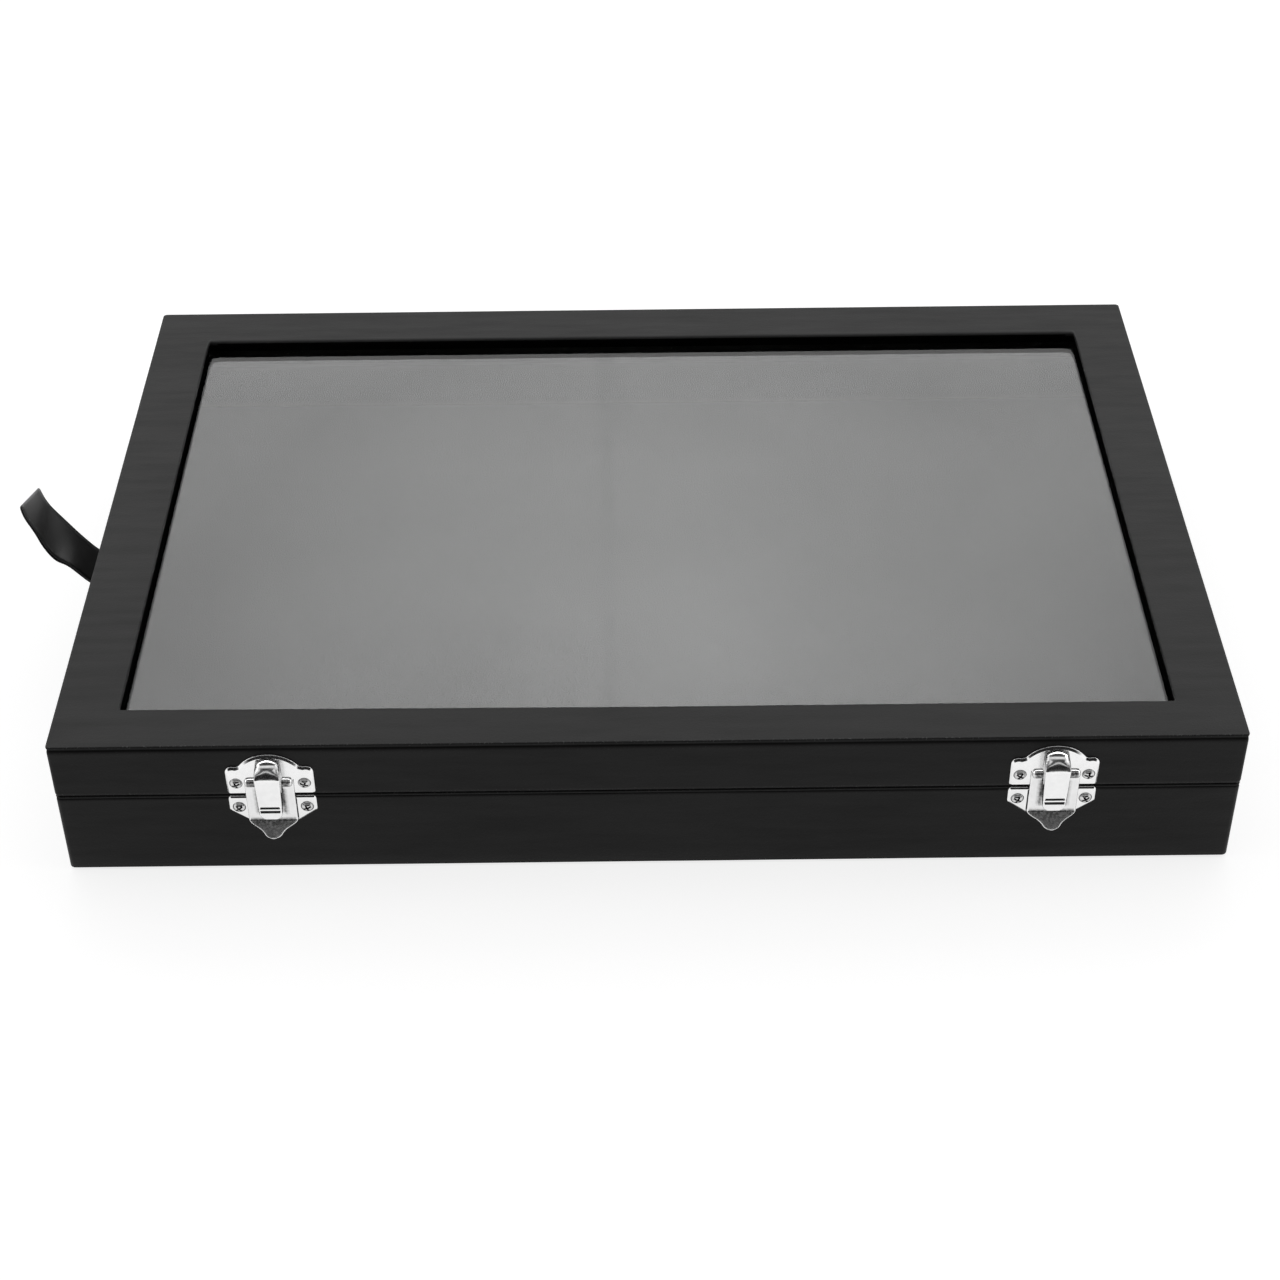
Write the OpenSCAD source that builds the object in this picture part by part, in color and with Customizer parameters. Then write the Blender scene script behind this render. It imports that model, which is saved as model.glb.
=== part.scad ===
// Glass-topped jewelry display case: a covered board box with a glazed, hinged lid, two press latches at
// the front, two stop hinges at the rear, a velvet pad inside and a folded ribbon pull on the left.
// Frame: origin at the centre of the underside, +X to the right, -Y to the front, +Z up. Millimetres.

/* [Case] */
// Overall width of the case, left to right
case_w = 350; // [320:1:400]
// Overall depth of the case, front to rear
case_d = 240; // [210:1:280]
// Overall height of the closed case
case_h = 49; // [47:0.5:60]
// Height of the base, from the table to its rim
base_h = 29.7; // [26:0.1:32]
// Slit between the rim of the base and the closed lid
part_gap = 0.3; // [0.2:0.05:0.5]

/* [Boards and coverings] */
// Thickness of the side boards
wall_t = 6; // [5:0.25:7]
// Thickness of the bottom board
bottom_t = 3; // [2:0.25:5]
// Thickness of the leatherette covering
cover_t = 0.7; // [0.5:0.05:1]
// Width of the covering that is turned in under the bottom
turn_in = 14; // [10:1:25]
// Thickness of the sheet on the underside
sheet_t = 0.6; // [0.4:0.1:1]
// Margin from the edge of the case to the underside sheet
sheet_inset = 2.5; // [1:0.5:6]
// Thickness of the velvet lining on the inner walls
lining_t = 0.8; // [0.5:0.1:1.2]
// Depth of the lining's edge below the rim
lining_drop = 0.3; // [0.2:0.1:1]

/* [Window and glass] */
// Width of the lid's side rails, from the outside to the window
rail_side = 19.1; // [18:0.1:30]
// Width of the lid's front rail
rail_front = 16.1; // [15.3:0.1:30]
// Width of the lid's rear rail
rail_rear = 20; // [16:0.1:30]
// Thickness of the board that frames the window
frame_t = 2.9; // [1.5:0.1:4]
// Thickness of the glass pane
glass_t = 2; // [1.5:0.1:3]
// Clearance from the pane's edge to the lid's boards
glass_gap = 0.6; // [0.4:0.1:0.9]
// Width of the strips that hold the pane
stop_w = 8; // [6:0.25:8]
// Height of the strips that hold the pane
stop_h = 6; // [4:0.25:7]

/* [Insert] */
// Thickness of the card under the pad
card_t = 1.5; // [1:0.25:3]
// Thickness of the velvet pad
pad_t = 9; // [5:0.5:12]
// Clearance from the insert to the lining
insert_gap = 0.8; // [0.4:0.1:0.9]

/* [Screws] */
// Diameter of a screw's shank
screw_d = 2; // [1.6:0.1:2.4]
// Diameter of a screw's head
head_d = 3.9; // [3.2:0.1:4.4]
// Height of a screw's domed head
head_h = 1.1; // [0.8:0.05:1.4]
// Width of a slot of the cross recess
cross_w = 0.55; // [0.4:0.05:0.8]
// Length of a slot of the cross recess
cross_l = 2.3; // [1.6:0.1:2.6]
// Length of a screw's pointed tip
tip_len = 1.4; // [1:0.1:2]
// Depth of the cross recess
cross_depth = 0.6; // [0.4:0.05:0.8]
// Radial clearance of a shank in its holes
screw_clear = 0.05; // [0.03:0.01:0.1]
// Board left standing behind a screw's tip
screw_cover = 1.6; // [1:0.1:3]

/* [Hinges] */
// Distance from each end of the case to the middle of its hinge
hinge_inset = 65; // [30:1:90]
// Width of a hinge
hinge_w = 26; // [20:0.5:36]
// Reach of a leaf from the hinge's axis
leaf_h = 11; // [9:0.25:11.5]
// Thickness of a leaf
leaf_t = 0.9; // [0.7:0.05:1.2]
// Outer diameter of the barrel
barrel_d = 3.4; // [3:0.1:4]
// Clearance from the barrel to the rear face
barrel_clear = 0.3; // [0.2:0.05:0.6]
// Width of the lid's knuckle, between the two knuckles of the base
mid_knuckle_w = 9; // [6:0.25:12]
// Side clearance between knuckles
knuckle_gap = 0.25; // [0.15:0.05:0.4]
// Clearance from a leaf's edge to the other leaf's knuckle
leaf_gap = 0.4; // [0.3:0.05:0.6]
// Diameter of the hinge pin
hinge_pin_d = 1.8; // [1.4:0.1:2]
// Radial clearance of the hinge pin in the base's knuckles
hinge_pin_snug = 0.03; // [0.02:0.01:0.05]
// Radial clearance of the hinge pin in the lid's knuckle
hinge_pin_run = 0.06; // [0.03:0.01:0.1]
// Distance from a leaf's screws to the hinge's axis
leaf_screw_h = 6.6; // [5:0.1:8]
// Spacing of the two screws of a leaf
leaf_screw_pitch = 17; // [12:0.5:18]
// Angle at which the hinges stop the lid
lid_open = 105; // [90:1:120]
// Reach of the stop lip from the hinge's axis
lip_r = 3.9; // [3.5:0.1:4.5]
// Depth of the stop shelf's top below the hinge's axis
shelf_drop = 2.2; // [2.1:0.05:2.6]
// Clearance left between the lip and the shelf at the stop
stop_clear = 0.3; // [0.2:0.05:0.5]

/* [Latches] */
// Distance from the left end of the case to the middle of the left latch
latch_left_inset = 64.2; // [30:0.2:90]
// Distance from the right end of the case to the middle of the right latch
latch_right_inset = 55.8; // [30:0.2:90]
// Width of the latch plate and of the strike plate
plate_w = 25.9; // [24:0.1:30]
// Thickness of the pressed plates
plate_t = 0.9; // [0.7:0.05:1.1]
// Height of the strike plate's arch above the parting line
arch_h = 16; // [15.5:0.05:17]
// Radius of the strike plate's arch
arch_r = 11; // [10.5:0.1:12]
// Height of the strike plate's ears above the parting line
ear_h = 11.4; // [10.5:0.05:12]
// Radius of an ear of the strike plate
ear_r = 2.2; // [1.8:0.1:2.5]
// Height of the strike plate's lower edge above the parting line
strike_foot = 0.95; // [0.6:0.05:1.4]
// Height of the strike plate's screws above the parting line
strike_screw_h = 5.35; // [4.5:0.05:6]
// Spacing of the two screws of a plate
plate_screw_pitch = 20.1; // [19.5:0.1:21]
// Depth of the latch plate's ears below the parting line
plate_ear_h = 5.6; // [5.2:0.05:6]
// Depth of the latch plate's screws below the parting line
plate_screw_h = 3.95; // [3.3:0.05:4.2]
// Depth of the latch plate's wings where they meet the bridge, below the parting line
wing_foot = 9.5; // [8.5:0.1:10.5]
// Width of the raised bridge of the latch plate
bridge_w = 14.5; // [13.6:0.1:15.5]
// Height of the bridge's face above the case
bridge_rise = 3; // [2.6:0.05:3.3]
// Height of the notch's foot between the bridge's knuckles, above the parting line
notch_foot = 4.5; // [4:0.1:5]
// Height of the latch plate's upper edge above the parting line
plate_head = 0.1; // [0:0.05:0.12]
// Corner cut of the latch plate's ears
ear_cut = 0.8; // [0.4:0.1:1.2]
// Depth of the bridge's lower edge below the parting line
bridge_foot = 6.5; // [6:0.1:7.5]
// Length of the tongue that flares out below the bridge
tongue_len = 6.4; // [5.5:0.1:7]
// Angle at which the tongue flares out from the case
tongue_flare = 43; // [30:1:50]
// Radius of the bend from the bridge into the tongue
tongue_bend = 1.6; // [1:0.1:2]
// Length of the tongue's shoulders, before it narrows
tongue_shoulder = 0.6; // [0.3:0.1:1]
// Half width of the tongue at its rounded end
tongue_tip = 2.7; // [2:0.1:3]
// Length of the tongue's rounded end
tongue_cap = 1.6; // [0.8:0.1:1.6]

/* [Levers] */
// Width of the lever
lever_w = 7.1; // [6.4:0.1:7.6]
// Thickness of the lever's sheet
lever_t = 0.8; // [0.6:0.05:0.9]
// Height of the lever's face above the case
lever_rise = 6; // [5.9:0.05:6.6]
// Depth of the lever's tail below the parting line
tail_h = 4.55; // [3:0.05:5]
// Radius of the tail's corners
tail_r = 2.4; // [1:0.1:3]
// Height at which the lever's face turns into its rounded head
head_start = 10.55; // [10:0.05:11]
// Height of the pin above the parting line
pin_h = 7.95; // [7.5:0.05:8.3]
// Height of the pin's axis above the case
pin_rise = 3.2; // [3:0.05:3.4]
// Diameter of the lever's pin
pin_d = 1.6; // [1.2:0.1:1.8]
// Radial clearance of the pin in the bridge's knuckles
pin_snug = 0.02; // [0.02:0.01:0.05]
// Radial clearance of the pin in the lever
pin_run = 0.05; // [0.03:0.01:0.1]
// Radius of the lever's cheeks round the pin
boss_r = 1.9; // [1.6:0.1:2]
// Clearance from the pressed lever to the bridge
rub_clear = 0.25; // [0.15:0.05:0.3]
// Outer diameter of the bridge's knuckles
knuckle_d = 3.4; // [3:0.1:3.6]
// Side clearance between the lever and the knuckles
lever_gap = 0.35; // [0.25:0.05:0.5]
// Angle through which the lever is pressed
lever_press = 9; // [7:0.5:9]
// Reach of the nose: height of its end above the case
nose_rise = 1.4; // [1.2:0.05:1.6]
// Height of the catch's edge above the case
catch_rise = 2.2; // [1.9:0.05:2.2]
// Width of the catch
catch_w = 4.4; // [3:0.1:4.8]
// Height of the catch's flat edge
catch_land = 1; // [0.6:0.1:1.2]
// Height of the catch's ramp
ramp_h = 2; // [1:0.1:2.4]
// Clearance between the nose and the catch under it
catch_gap = 0.3; // [0.2:0.05:0.5]
// Width of the leaf spring
spring_w = 4; // [2:0.1:4.6]
// Thickness of the leaf spring
spring_t = 0.3; // [0.2:0.05:0.4]
// Depth of the spring's bend below the notch
spring_drop = 2; // [1:0.1:3]
// Distance of the spring's two ends from the bridge's foot and from the lever's tail
spring_margin = 1.1; // [0.6:0.1:2]
// Height of the upper grip ridge, below the head's start
ridge_h = 10.1; // [9:0.1:11]
// Distance between the two grip ridges
ridge_pitch = 1.6; // [1.2:0.1:2]
// Radius of a grip ridge
ridge_r = 0.45; // [0.3:0.05:0.5]
// Depth of a ridge's middle below the lever's face
ridge_sink = 0.1; // [0:0.05:0.2]

/* [Ribbon] */
// Width of the ribbon
ribbon_w = 18; // [10:0.5:25]
// Thickness of one layer of the ribbon
ribbon_t = 0.35; // [0.3:0.05:0.6]
// Place of the ribbon's middle, from the middle of the case
ribbon_y = -6; // [-60:1:60]
// Depth of the ribbon's slit below the rim
slit_drop = 2.7; // [2.2:0.1:6]
// Depth of the slit in the left board
slit_depth = 5; // [3:0.25:5]
// Clearance round the ribbon in its slit
slit_clear = 0.3; // [0.2:0.05:0.5]
// Reach of the folded end beyond the left side
ribbon_reach = 25; // [15:0.5:35]
// Rise of the folded end above the slit
ribbon_rise = 32.5; // [15:0.5:40]
// Share of the reach at which the ribbon leaves the slit's direction
ribbon_lead = 0.44; // [0.3:0.02:0.6]
// Share of the reach at which the ribbon takes up its end's direction
ribbon_bow = 0.76; // [0.6:0.02:0.9]
// Share of the rise at which the ribbon takes up its end's direction
ribbon_lift = 0.46; // [0.3:0.02:0.6]
// Widest gap between the two layers
loop_gap = 1.6; // [0.8:0.1:3]

/* [Hidden] */
$fn = 64;
// Overlap of solids that are fused into one piece
fuse = 0.2;
// Overshoot of a cut past the face that it opens
past = 1;

half_w = case_w / 2;
half_d = case_d / 2;
lid_z = base_h + part_gap;
part_z = base_h + part_gap / 2;

// Outer and inner faces of the side boards
board_x = half_w - cover_t;
board_y = half_d - cover_t;
in_x = board_x - wall_t;
in_y = board_y - wall_t;
room_x = in_x - lining_t;
room_y = in_y - lining_t;

// Levels of the base, from the table up
base_board_z = sheet_t + cover_t;
base_floor_z = base_board_z + bottom_t;
base_top_z = base_h - cover_t;
card_z = base_floor_z + card_t;
pad_z = card_z + pad_t;

// Levels of the lid, from its rim up
lid_board_z = lid_z + cover_t;
lid_skin_z = case_h - cover_t;
frame_z = lid_skin_z - frame_t;
glass_z = frame_z - glass_t;
stop_z = glass_z - stop_h;

// Edges of the window in the covering
window_x = half_w - rail_side;
window_front = -half_d + rail_front;
window_rear = half_d - rail_rear;

// Screws: how far the shank goes into the case, and the hole for it
screw_depth = cover_t + wall_t - screw_cover;
screw_hole_d = screw_d + 2 * screw_clear;
dome_r = (head_d * head_d / 4 + head_h * head_h) / (2 * head_h);

// Places of the hinges and the latches across the case
hinge_x = half_w - hinge_inset;
latch_left_x = latch_left_inset - half_w;
latch_right_x = half_w - latch_right_inset;

// Hinge: axis above the rear face, and the angle of its stop lip when the lid is shut
barrel_r = barrel_d / 2;
barrel_rise = barrel_clear + barrel_r;
snug_bore_d = hinge_pin_d + 2 * hinge_pin_snug;
run_bore_d = hinge_pin_d + 2 * hinge_pin_run;
leaf_edge = barrel_r + leaf_gap;
lip_diag = sqrt(lip_r * lip_r + leaf_t * leaf_t / 4);
lip_rest = atan2(leaf_t / 2, lip_r) - asin((shelf_drop - stop_clear) / lip_diag);
lip_angle = lid_open + lip_rest;

// Latch: radii, bores and the inner faces of its pressed sheets
head_r = lever_rise - nose_rise;
lever_back = lever_rise - lever_t;
notch_half = lever_w / 2 + lever_gap;
lever_bore_d = pin_d + 2 * pin_run;
knuckle_bore_d = pin_d + 2 * pin_snug;
catch_top = head_start + sqrt(pow(head_r - lever_t, 2) - pow(catch_rise - nose_rise, 2)) - catch_gap;
ramp_foot = catch_top - catch_land - ramp_h;
spring_bend = notch_foot - spring_drop;
spring_foot = -bridge_foot + spring_margin;
spring_tip = -tail_h + spring_margin;
spring_reach = lever_back - bridge_rise - rub_clear;

// Shared shapes

// A block between two values on each axis
module block(x, y, z) {
    translate([x[0], y[0], z[0]])
        cube([x[1] - x[0], y[1] - y[0], z[1] - z[0]]);
}

// A block centred on the case, given by its half sizes and its two levels
module centred(hx, hy, z) {
    block([-hx, hx], [-hy, hy], z);
}

// A band of a wall round the case, between an outer and an inner half size
module band(outer, inner, z) {
    difference() {
        centred(outer[0], outer[1], z);
        centred(inner[0], inner[1], [z[0] - past, z[1] + past]);
    }
}

// Hardware frames: X across, Y up from the parting line, Z out of the case
module at_front(x) {
    translate([x, -half_d, part_z]) rotate([90, 0, 0]) children();
}

module at_rear(x) {
    translate([x, half_d, part_z]) rotate([90, 0, 180]) children();
}

module at_latches() {
    for (x = [latch_left_x, latch_right_x]) at_front(x) children();
}

module at_hinges() {
    for (x = [-hinge_x, hinge_x]) at_rear(x) children();
}

// A pair of places, one each side of the middle
module pair(pitch, h) {
    for (side = [-1, 1]) translate([side * pitch / 2, h, 0]) children();
}

// A round bar along X, at a height and a rise
module bar_x(d, len, h, rise) {
    translate([-len / 2, h, rise]) rotate([0, 90, 0]) cylinder(d = d, h = len);
}

// A domed cross-recess screw whose head sits at a rise above the case
module screw(rise) {
    difference() {
        union() {
            intersection() {
                translate([0, 0, rise + head_h - dome_r]) sphere(r = dome_r);
                translate([0, 0, rise]) cylinder(d = head_d + 1, h = head_h + 1);
            }
            translate([0, 0, tip_len - screw_depth])
                cylinder(d = screw_d, h = screw_depth - tip_len + rise + fuse);
            translate([0, 0, -screw_depth]) cylinder(d1 = screw_d / 4, d2 = screw_d, h = tip_len);
        }
        for (turn = [0, 90])
            translate([0, 0, rise + head_h])
                rotate([0, 0, turn])
                    cube([cross_l, cross_w, 2 * cross_depth], center = true);
    }
}

// The hole that a screw needs in the covering and the board
module screw_hole() {
    translate([0, 0, -screw_depth - screw_clear]) cylinder(d = screw_hole_d, h = screw_depth + past);
}

module latch_base_holes() {
    at_latches() pair(plate_screw_pitch, -plate_screw_h) screw_hole();
}

module latch_lid_holes() {
    at_latches() pair(plate_screw_pitch, strike_screw_h) screw_hole();
}

module hinge_base_holes() {
    at_hinges() pair(leaf_screw_pitch, -leaf_screw_h) screw_hole();
}

module hinge_lid_holes() {
    at_hinges() pair(leaf_screw_pitch, leaf_screw_h) screw_hole();
}

// Base: boards

module base_bottom_board() {
    color("#8a7355") centred(in_x, in_y, [base_board_z, base_floor_z]);
}

module base_front_board() {
    color("#8a7355") difference() {
        block([-board_x, board_x], [-board_y, -in_y], [base_board_z, base_top_z]);
        latch_base_holes();
    }
}

module base_rear_board() {
    color("#8a7355") difference() {
        block([-board_x, board_x], [in_y, board_y], [base_board_z, base_top_z]);
        hinge_base_holes();
    }
}

module base_left_board() {
    color("#8a7355") difference() {
        block([-board_x, -in_x], [-in_y, in_y], [base_board_z, base_top_z]);
        ribbon_slit();
    }
}

module base_right_board() {
    color("#8a7355") block([in_x, board_x], [-in_y, in_y], [base_board_z, base_top_z]);
}

// Base: covering, lining and insert

// Leatherette round the four sides, folded over the rim and turned in under the bottom
module base_wrap() {
    color("#1c1c1d") difference() {
        centred(half_w, half_d, [sheet_t, base_h]);
        centred(board_x, board_y, [base_board_z, base_top_z]);
        centred(in_x, in_y, [base_top_z - past, base_h + past]);
        centred(half_w - turn_in, half_d - turn_in, [sheet_t - past, base_board_z + past]);
        latch_base_holes();
        hinge_base_holes();
        ribbon_slit();
    }
}

module base_underside_sheet() {
    color("#232324") centred(half_w - sheet_inset, half_d - sheet_inset, [0, sheet_t]);
}

module base_wall_lining() {
    color("#101011") band([in_x, in_y], [room_x, room_y], [base_floor_z, base_h - lining_drop]);
}

module insert_backing_card() {
    color("#3a3a3a") centred(room_x - insert_gap, room_y - insert_gap, [base_floor_z, card_z]);
}

module display_pad() {
    color("#0d0d0e") centred(room_x - insert_gap, room_y - insert_gap, [card_z, pad_z]);
}

// Ribbon pull: one satin strip, folded double, with both ends glued in a slit of the left board

slit_z = base_h - slit_drop;
slit_half = ribbon_t + slit_clear;
ribbon_steps = 16;

// Middle line of the folded ribbon from the left side (t = 0) to its fold (t = 1), as reach and rise
function ribbon_mid(t) = let (s = 1 - t) [
    ribbon_reach * (3 * s * s * t * ribbon_lead + 3 * s * t * t * ribbon_bow + t * t * t),
    ribbon_rise * (3 * s * t * t * ribbon_lift + t * t * t)
];

// Direction across the middle line, towards the upper layer
function ribbon_up(t) = let (
    d = ribbon_mid(t + 0.01) - ribbon_mid(t - 0.01)
) [-d[1], d[0]] / norm(d);

// Half the distance between the layers: closed in the slit, open in the middle, closed at the fold
function ribbon_part(t) = ribbon_t / 2 + loop_gap / 2 * pow(sin(180 * t), 2);

function ribbon_line(off) = [
    for (i = [0:ribbon_steps]) let (t = i / ribbon_steps) ribbon_mid(t) + off * ribbon_up(t) * ribbon_part(t)
];

// Outline of one layer, off the middle line to one side
function ribbon_layer(side) = let (
    inner = ribbon_line(side),
    outer = [for (i = [0:ribbon_steps]) inner[i] + side * ribbon_t / 2 * ribbon_up(i / ribbon_steps)],
    near = [for (i = [0:ribbon_steps]) inner[i] - side * ribbon_t / 2 * ribbon_up(i / ribbon_steps)]
) concat(outer, [for (i = [ribbon_steps:-1:0]) near[i]]);

module ribbon_profile() {
    polygon(ribbon_layer(1));
    polygon(ribbon_layer(-1));
    // Fold at the free end
    translate(ribbon_mid(1)) circle(r = ribbon_t);
    // Both ends, side by side in the slit
    translate([-cover_t - slit_depth + slit_clear, -ribbon_t])
        square([cover_t + slit_depth - slit_clear + fuse, 2 * ribbon_t]);
}

// The ribbon's frame: X outwards from the left side, Y up from the slit
module at_ribbon() {
    translate([-half_w, ribbon_y, slit_z]) rotate([90, 0, 180]) children();
}

module ribbon_pull() {
    color("#151516") at_ribbon()
        translate([0, 0, -ribbon_w / 2]) linear_extrude(ribbon_w) ribbon_profile();
}

module ribbon_slit() {
    at_ribbon()
        translate([-cover_t - slit_depth, -slit_half, -ribbon_w / 2 - slit_clear])
            cube([cover_t + slit_depth + past, 2 * slit_half, ribbon_w + 2 * slit_clear]);
}

// Lid: boards

module lid_top_frame() {
    color("#8a7355") difference() {
        centred(board_x, board_y, [frame_z, lid_skin_z]);
        block([-window_x - cover_t, window_x + cover_t], [window_front - cover_t, window_rear + cover_t],
              [frame_z - past, lid_skin_z + past]);
    }
}

module lid_front_board() {
    color("#8a7355") difference() {
        block([-board_x, board_x], [-board_y, -in_y], [lid_board_z, frame_z]);
        latch_lid_holes();
    }
}

module lid_rear_board() {
    color("#8a7355") difference() {
        block([-board_x, board_x], [in_y, board_y], [lid_board_z, frame_z]);
        hinge_lid_holes();
    }
}

module lid_left_board() {
    color("#8a7355") block([-board_x, -in_x], [-in_y, in_y], [lid_board_z, frame_z]);
}

module lid_right_board() {
    color("#8a7355") block([in_x, board_x], [-in_y, in_y], [lid_board_z, frame_z]);
}

// Lid: covering, lining, glass and the strips that hold it

// Leatherette over the top and sides, folded over the rim and turned down into the window
module lid_wrap() {
    color("#1c1c1d") difference() {
        union() {
            difference() {
                centred(half_w, half_d, [lid_z, case_h]);
                centred(board_x, board_y, [lid_board_z, lid_skin_z]);
            }
            block([-window_x - cover_t, window_x + cover_t], [window_front - cover_t, window_rear + cover_t],
                  [frame_z, lid_skin_z + fuse]);
        }
        block([-window_x, window_x], [window_front, window_rear], [frame_z - past, case_h + past]);
        centred(in_x, in_y, [lid_z - past, lid_board_z + past]);
        latch_lid_holes();
        hinge_lid_holes();
    }
}

module lid_wall_lining() {
    color("#101011") band([in_x, in_y], [room_x, room_y], [lid_z + lining_drop, stop_z]);
}

module glass_pane() {
    color("#b9c4c6", 0.4) centred(in_x - glass_gap, in_y - glass_gap, [glass_z, frame_z]);
}

module glass_stop_front() {
    color("#101011") block([-in_x, in_x], [-in_y, -in_y + stop_w], [stop_z, glass_z]);
}

module glass_stop_rear() {
    color("#101011") block([-in_x, in_x], [in_y - stop_w, in_y], [stop_z, glass_z]);
}

module glass_stop_left() {
    color("#101011") block([-in_x, -in_x + stop_w], [-in_y + stop_w, in_y - stop_w], [stop_z, glass_z]);
}

module glass_stop_right() {
    color("#101011") block([in_x - stop_w, in_x], [-in_y + stop_w, in_y - stop_w], [stop_z, glass_z]);
}

// Hinges

// Plate of a leaf on one side of the axis, with its screw holes
module leaf_plate(side) {
    difference() {
        translate([-hinge_w / 2, side > 0 ? leaf_edge : -leaf_h, 0])
            cube([hinge_w, leaf_h - leaf_edge, leaf_t]);
        pair(leaf_screw_pitch, side * leaf_screw_h)
            translate([0, 0, -past]) cylinder(d = screw_hole_d, h = leaf_t + 2 * past);
    }
}

// A knuckle with the neck that joins it to its leaf, between two places along the barrel
module knuckle(x0, x1, side, bore) {
    difference() {
        union() {
            translate([(x0 + x1) / 2, 0, 0]) bar_x(barrel_d, x1 - x0, 0, barrel_rise);
            translate([x0, side > 0 ? 0 : -leaf_edge - fuse, 0])
                cube([x1 - x0, leaf_edge + fuse, leaf_t]);
        }
        bar_x(bore, 2 * hinge_w, 0, barrel_rise);
    }
}

// Leaf on the base: two outer knuckles, and the shelf that stops the lid
module hinge_base_leaf() {
    leaf_plate(-1);
    for (side = [-1, 1]) {
        inner = side * (mid_knuckle_w / 2 + knuckle_gap);
        outer = side * hinge_w / 2;
        knuckle(min(inner, outer), max(inner, outer), -1, snug_bore_d);
    }
    translate([-mid_knuckle_w / 2, -shelf_drop - leaf_t, 0])
        cube([mid_knuckle_w, leaf_t, barrel_rise + lip_r - stop_clear]);
}

// Leaf on the lid: the middle knuckle, and the lip that meets the shelf
module hinge_lid_leaf() {
    leaf_plate(1);
    knuckle(-mid_knuckle_w / 2, mid_knuckle_w / 2, 1, run_bore_d);
    difference() {
        translate([0, 0, barrel_rise]) rotate([-lip_angle, 0, 0])
            translate([-mid_knuckle_w / 2, -leaf_t / 2, 0]) cube([mid_knuckle_w, leaf_t, lip_r]);
        bar_x(run_bore_d, 2 * hinge_w, 0, barrel_rise);
    }
}

module hinge_pin() {
    bar_x(hinge_pin_d, hinge_w, 0, barrel_rise);
}

module left_hinge_base_leaf() {
    color("#c9cbcd") at_rear(-hinge_x) hinge_base_leaf();
}

module right_hinge_base_leaf() {
    color("#c9cbcd") at_rear(hinge_x) hinge_base_leaf();
}

module left_hinge_lid_leaf() {
    color("#c9cbcd") at_rear(-hinge_x) hinge_lid_leaf();
}

module right_hinge_lid_leaf() {
    color("#c9cbcd") at_rear(hinge_x) hinge_lid_leaf();
}

module left_hinge_pin() {
    color("#a9abad") at_rear(-hinge_x) hinge_pin();
}

module right_hinge_pin() {
    color("#a9abad") at_rear(hinge_x) hinge_pin();
}

module hinge_base_screws() {
    color("#b9bbbd") at_hinges() pair(leaf_screw_pitch, -leaf_screw_h) screw(leaf_t);
}

module hinge_lid_screws() {
    color("#b9bbbd") at_hinges() pair(leaf_screw_pitch, leaf_screw_h) screw(leaf_t);
}

// Latches

// Outline of the strike plate: two round ears and an arch between them
module strike_outline() {
    translate([-plate_w / 2, strike_foot]) square([plate_w, ear_h - ear_r - strike_foot]);
    pair(plate_w - 2 * ear_r, ear_h - ear_r) circle(r = ear_r);
    intersection() {
        translate([0, arch_h - arch_r]) circle(r = arch_r, $fn = 128);
        translate([-plate_w / 2, strike_foot]) square([plate_w, arch_h]);
    }
}

ogee_steps = 12;
cap_steps = 6;
bend_len = tongue_bend * tongue_flare * PI / 180;
ogee_len = tongue_len - tongue_cap - tongue_shoulder;

// Turn of the tongue at a distance from the bridge's foot
function tongue_turn(s) = min(tongue_flare, s / tongue_bend * 180 / PI);

// Point of the tongue's front face at a distance from the bridge's foot, as height and rise
function tongue_face(s) = let (a = tongue_turn(s), far = max(0, s - bend_len)) [
    -bridge_foot - tongue_bend * sin(a) - far * cos(tongue_flare),
    bridge_rise + tongue_bend * (1 - cos(a)) + far * sin(tongue_flare)
];

// Point of the tongue's back, one sheet's thickness behind its front face
function tongue_back(s) = let (a = tongue_turn(s)) tongue_face(s) - plate_t * [sin(a), cos(a)];

// Front view of one side of the tongue: shoulders, an ogee that narrows, and a rounded end
function tongue_side(side) = concat(
    [[side * bridge_w / 2, -bridge_foot]],
    [for (i = [0:ogee_steps]) let (t = i / ogee_steps) [
        side * (tongue_tip + (bridge_w / 2 - tongue_tip) * (1 + cos(180 * pow(t, 1.3))) / 2),
        tongue_face(tongue_shoulder + ogee_len * t)[0]
    ]],
    [for (i = [1:cap_steps]) let (a = 90 * i / cap_steps) [
        side * tongue_tip * cos(a), tongue_face(tongue_len - tongue_cap * (1 - sin(a)))[0]
    ]]
);

module tongue_outline() {
    right = tongue_side(1);
    polygon(concat(tongue_side(-1), [for (i = [len(right) - 2:-1:0]) right[i]]));
}

// Outline of the latch plate against the case: two wings that slant down to the bridge's sides
module latch_outline() {
    left = [
        [-plate_w / 2, plate_head],
        [-plate_w / 2, -plate_ear_h + ear_cut],
        [-plate_w / 2 + ear_cut, -plate_ear_h],
        [-bridge_w / 2, -wing_foot]
    ];
    polygon(concat(left, [for (i = [3:-1:0]) [-left[i][0], left[i][1]]]));
}

tongue_steps = 16;

// Side view of the raised sheet, height by rise: the bridge's face, then the tongue
module bridge_profile() {
    polygon(concat(
        [[pin_h, bridge_rise - plate_t], [pin_h, bridge_rise]],
        [for (i = [0:tongue_steps]) tongue_face(tongue_len * i / tongue_steps)],
        [for (i = [tongue_steps:-1:0]) tongue_back(tongue_len * i / tongue_steps)]
    ));
}

// Turns a side view, height by rise, into a solid along X
module across(width) {
    rotate([90, 0, 90]) translate([0, 0, -width / 2]) linear_extrude(width) children();
}

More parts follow.
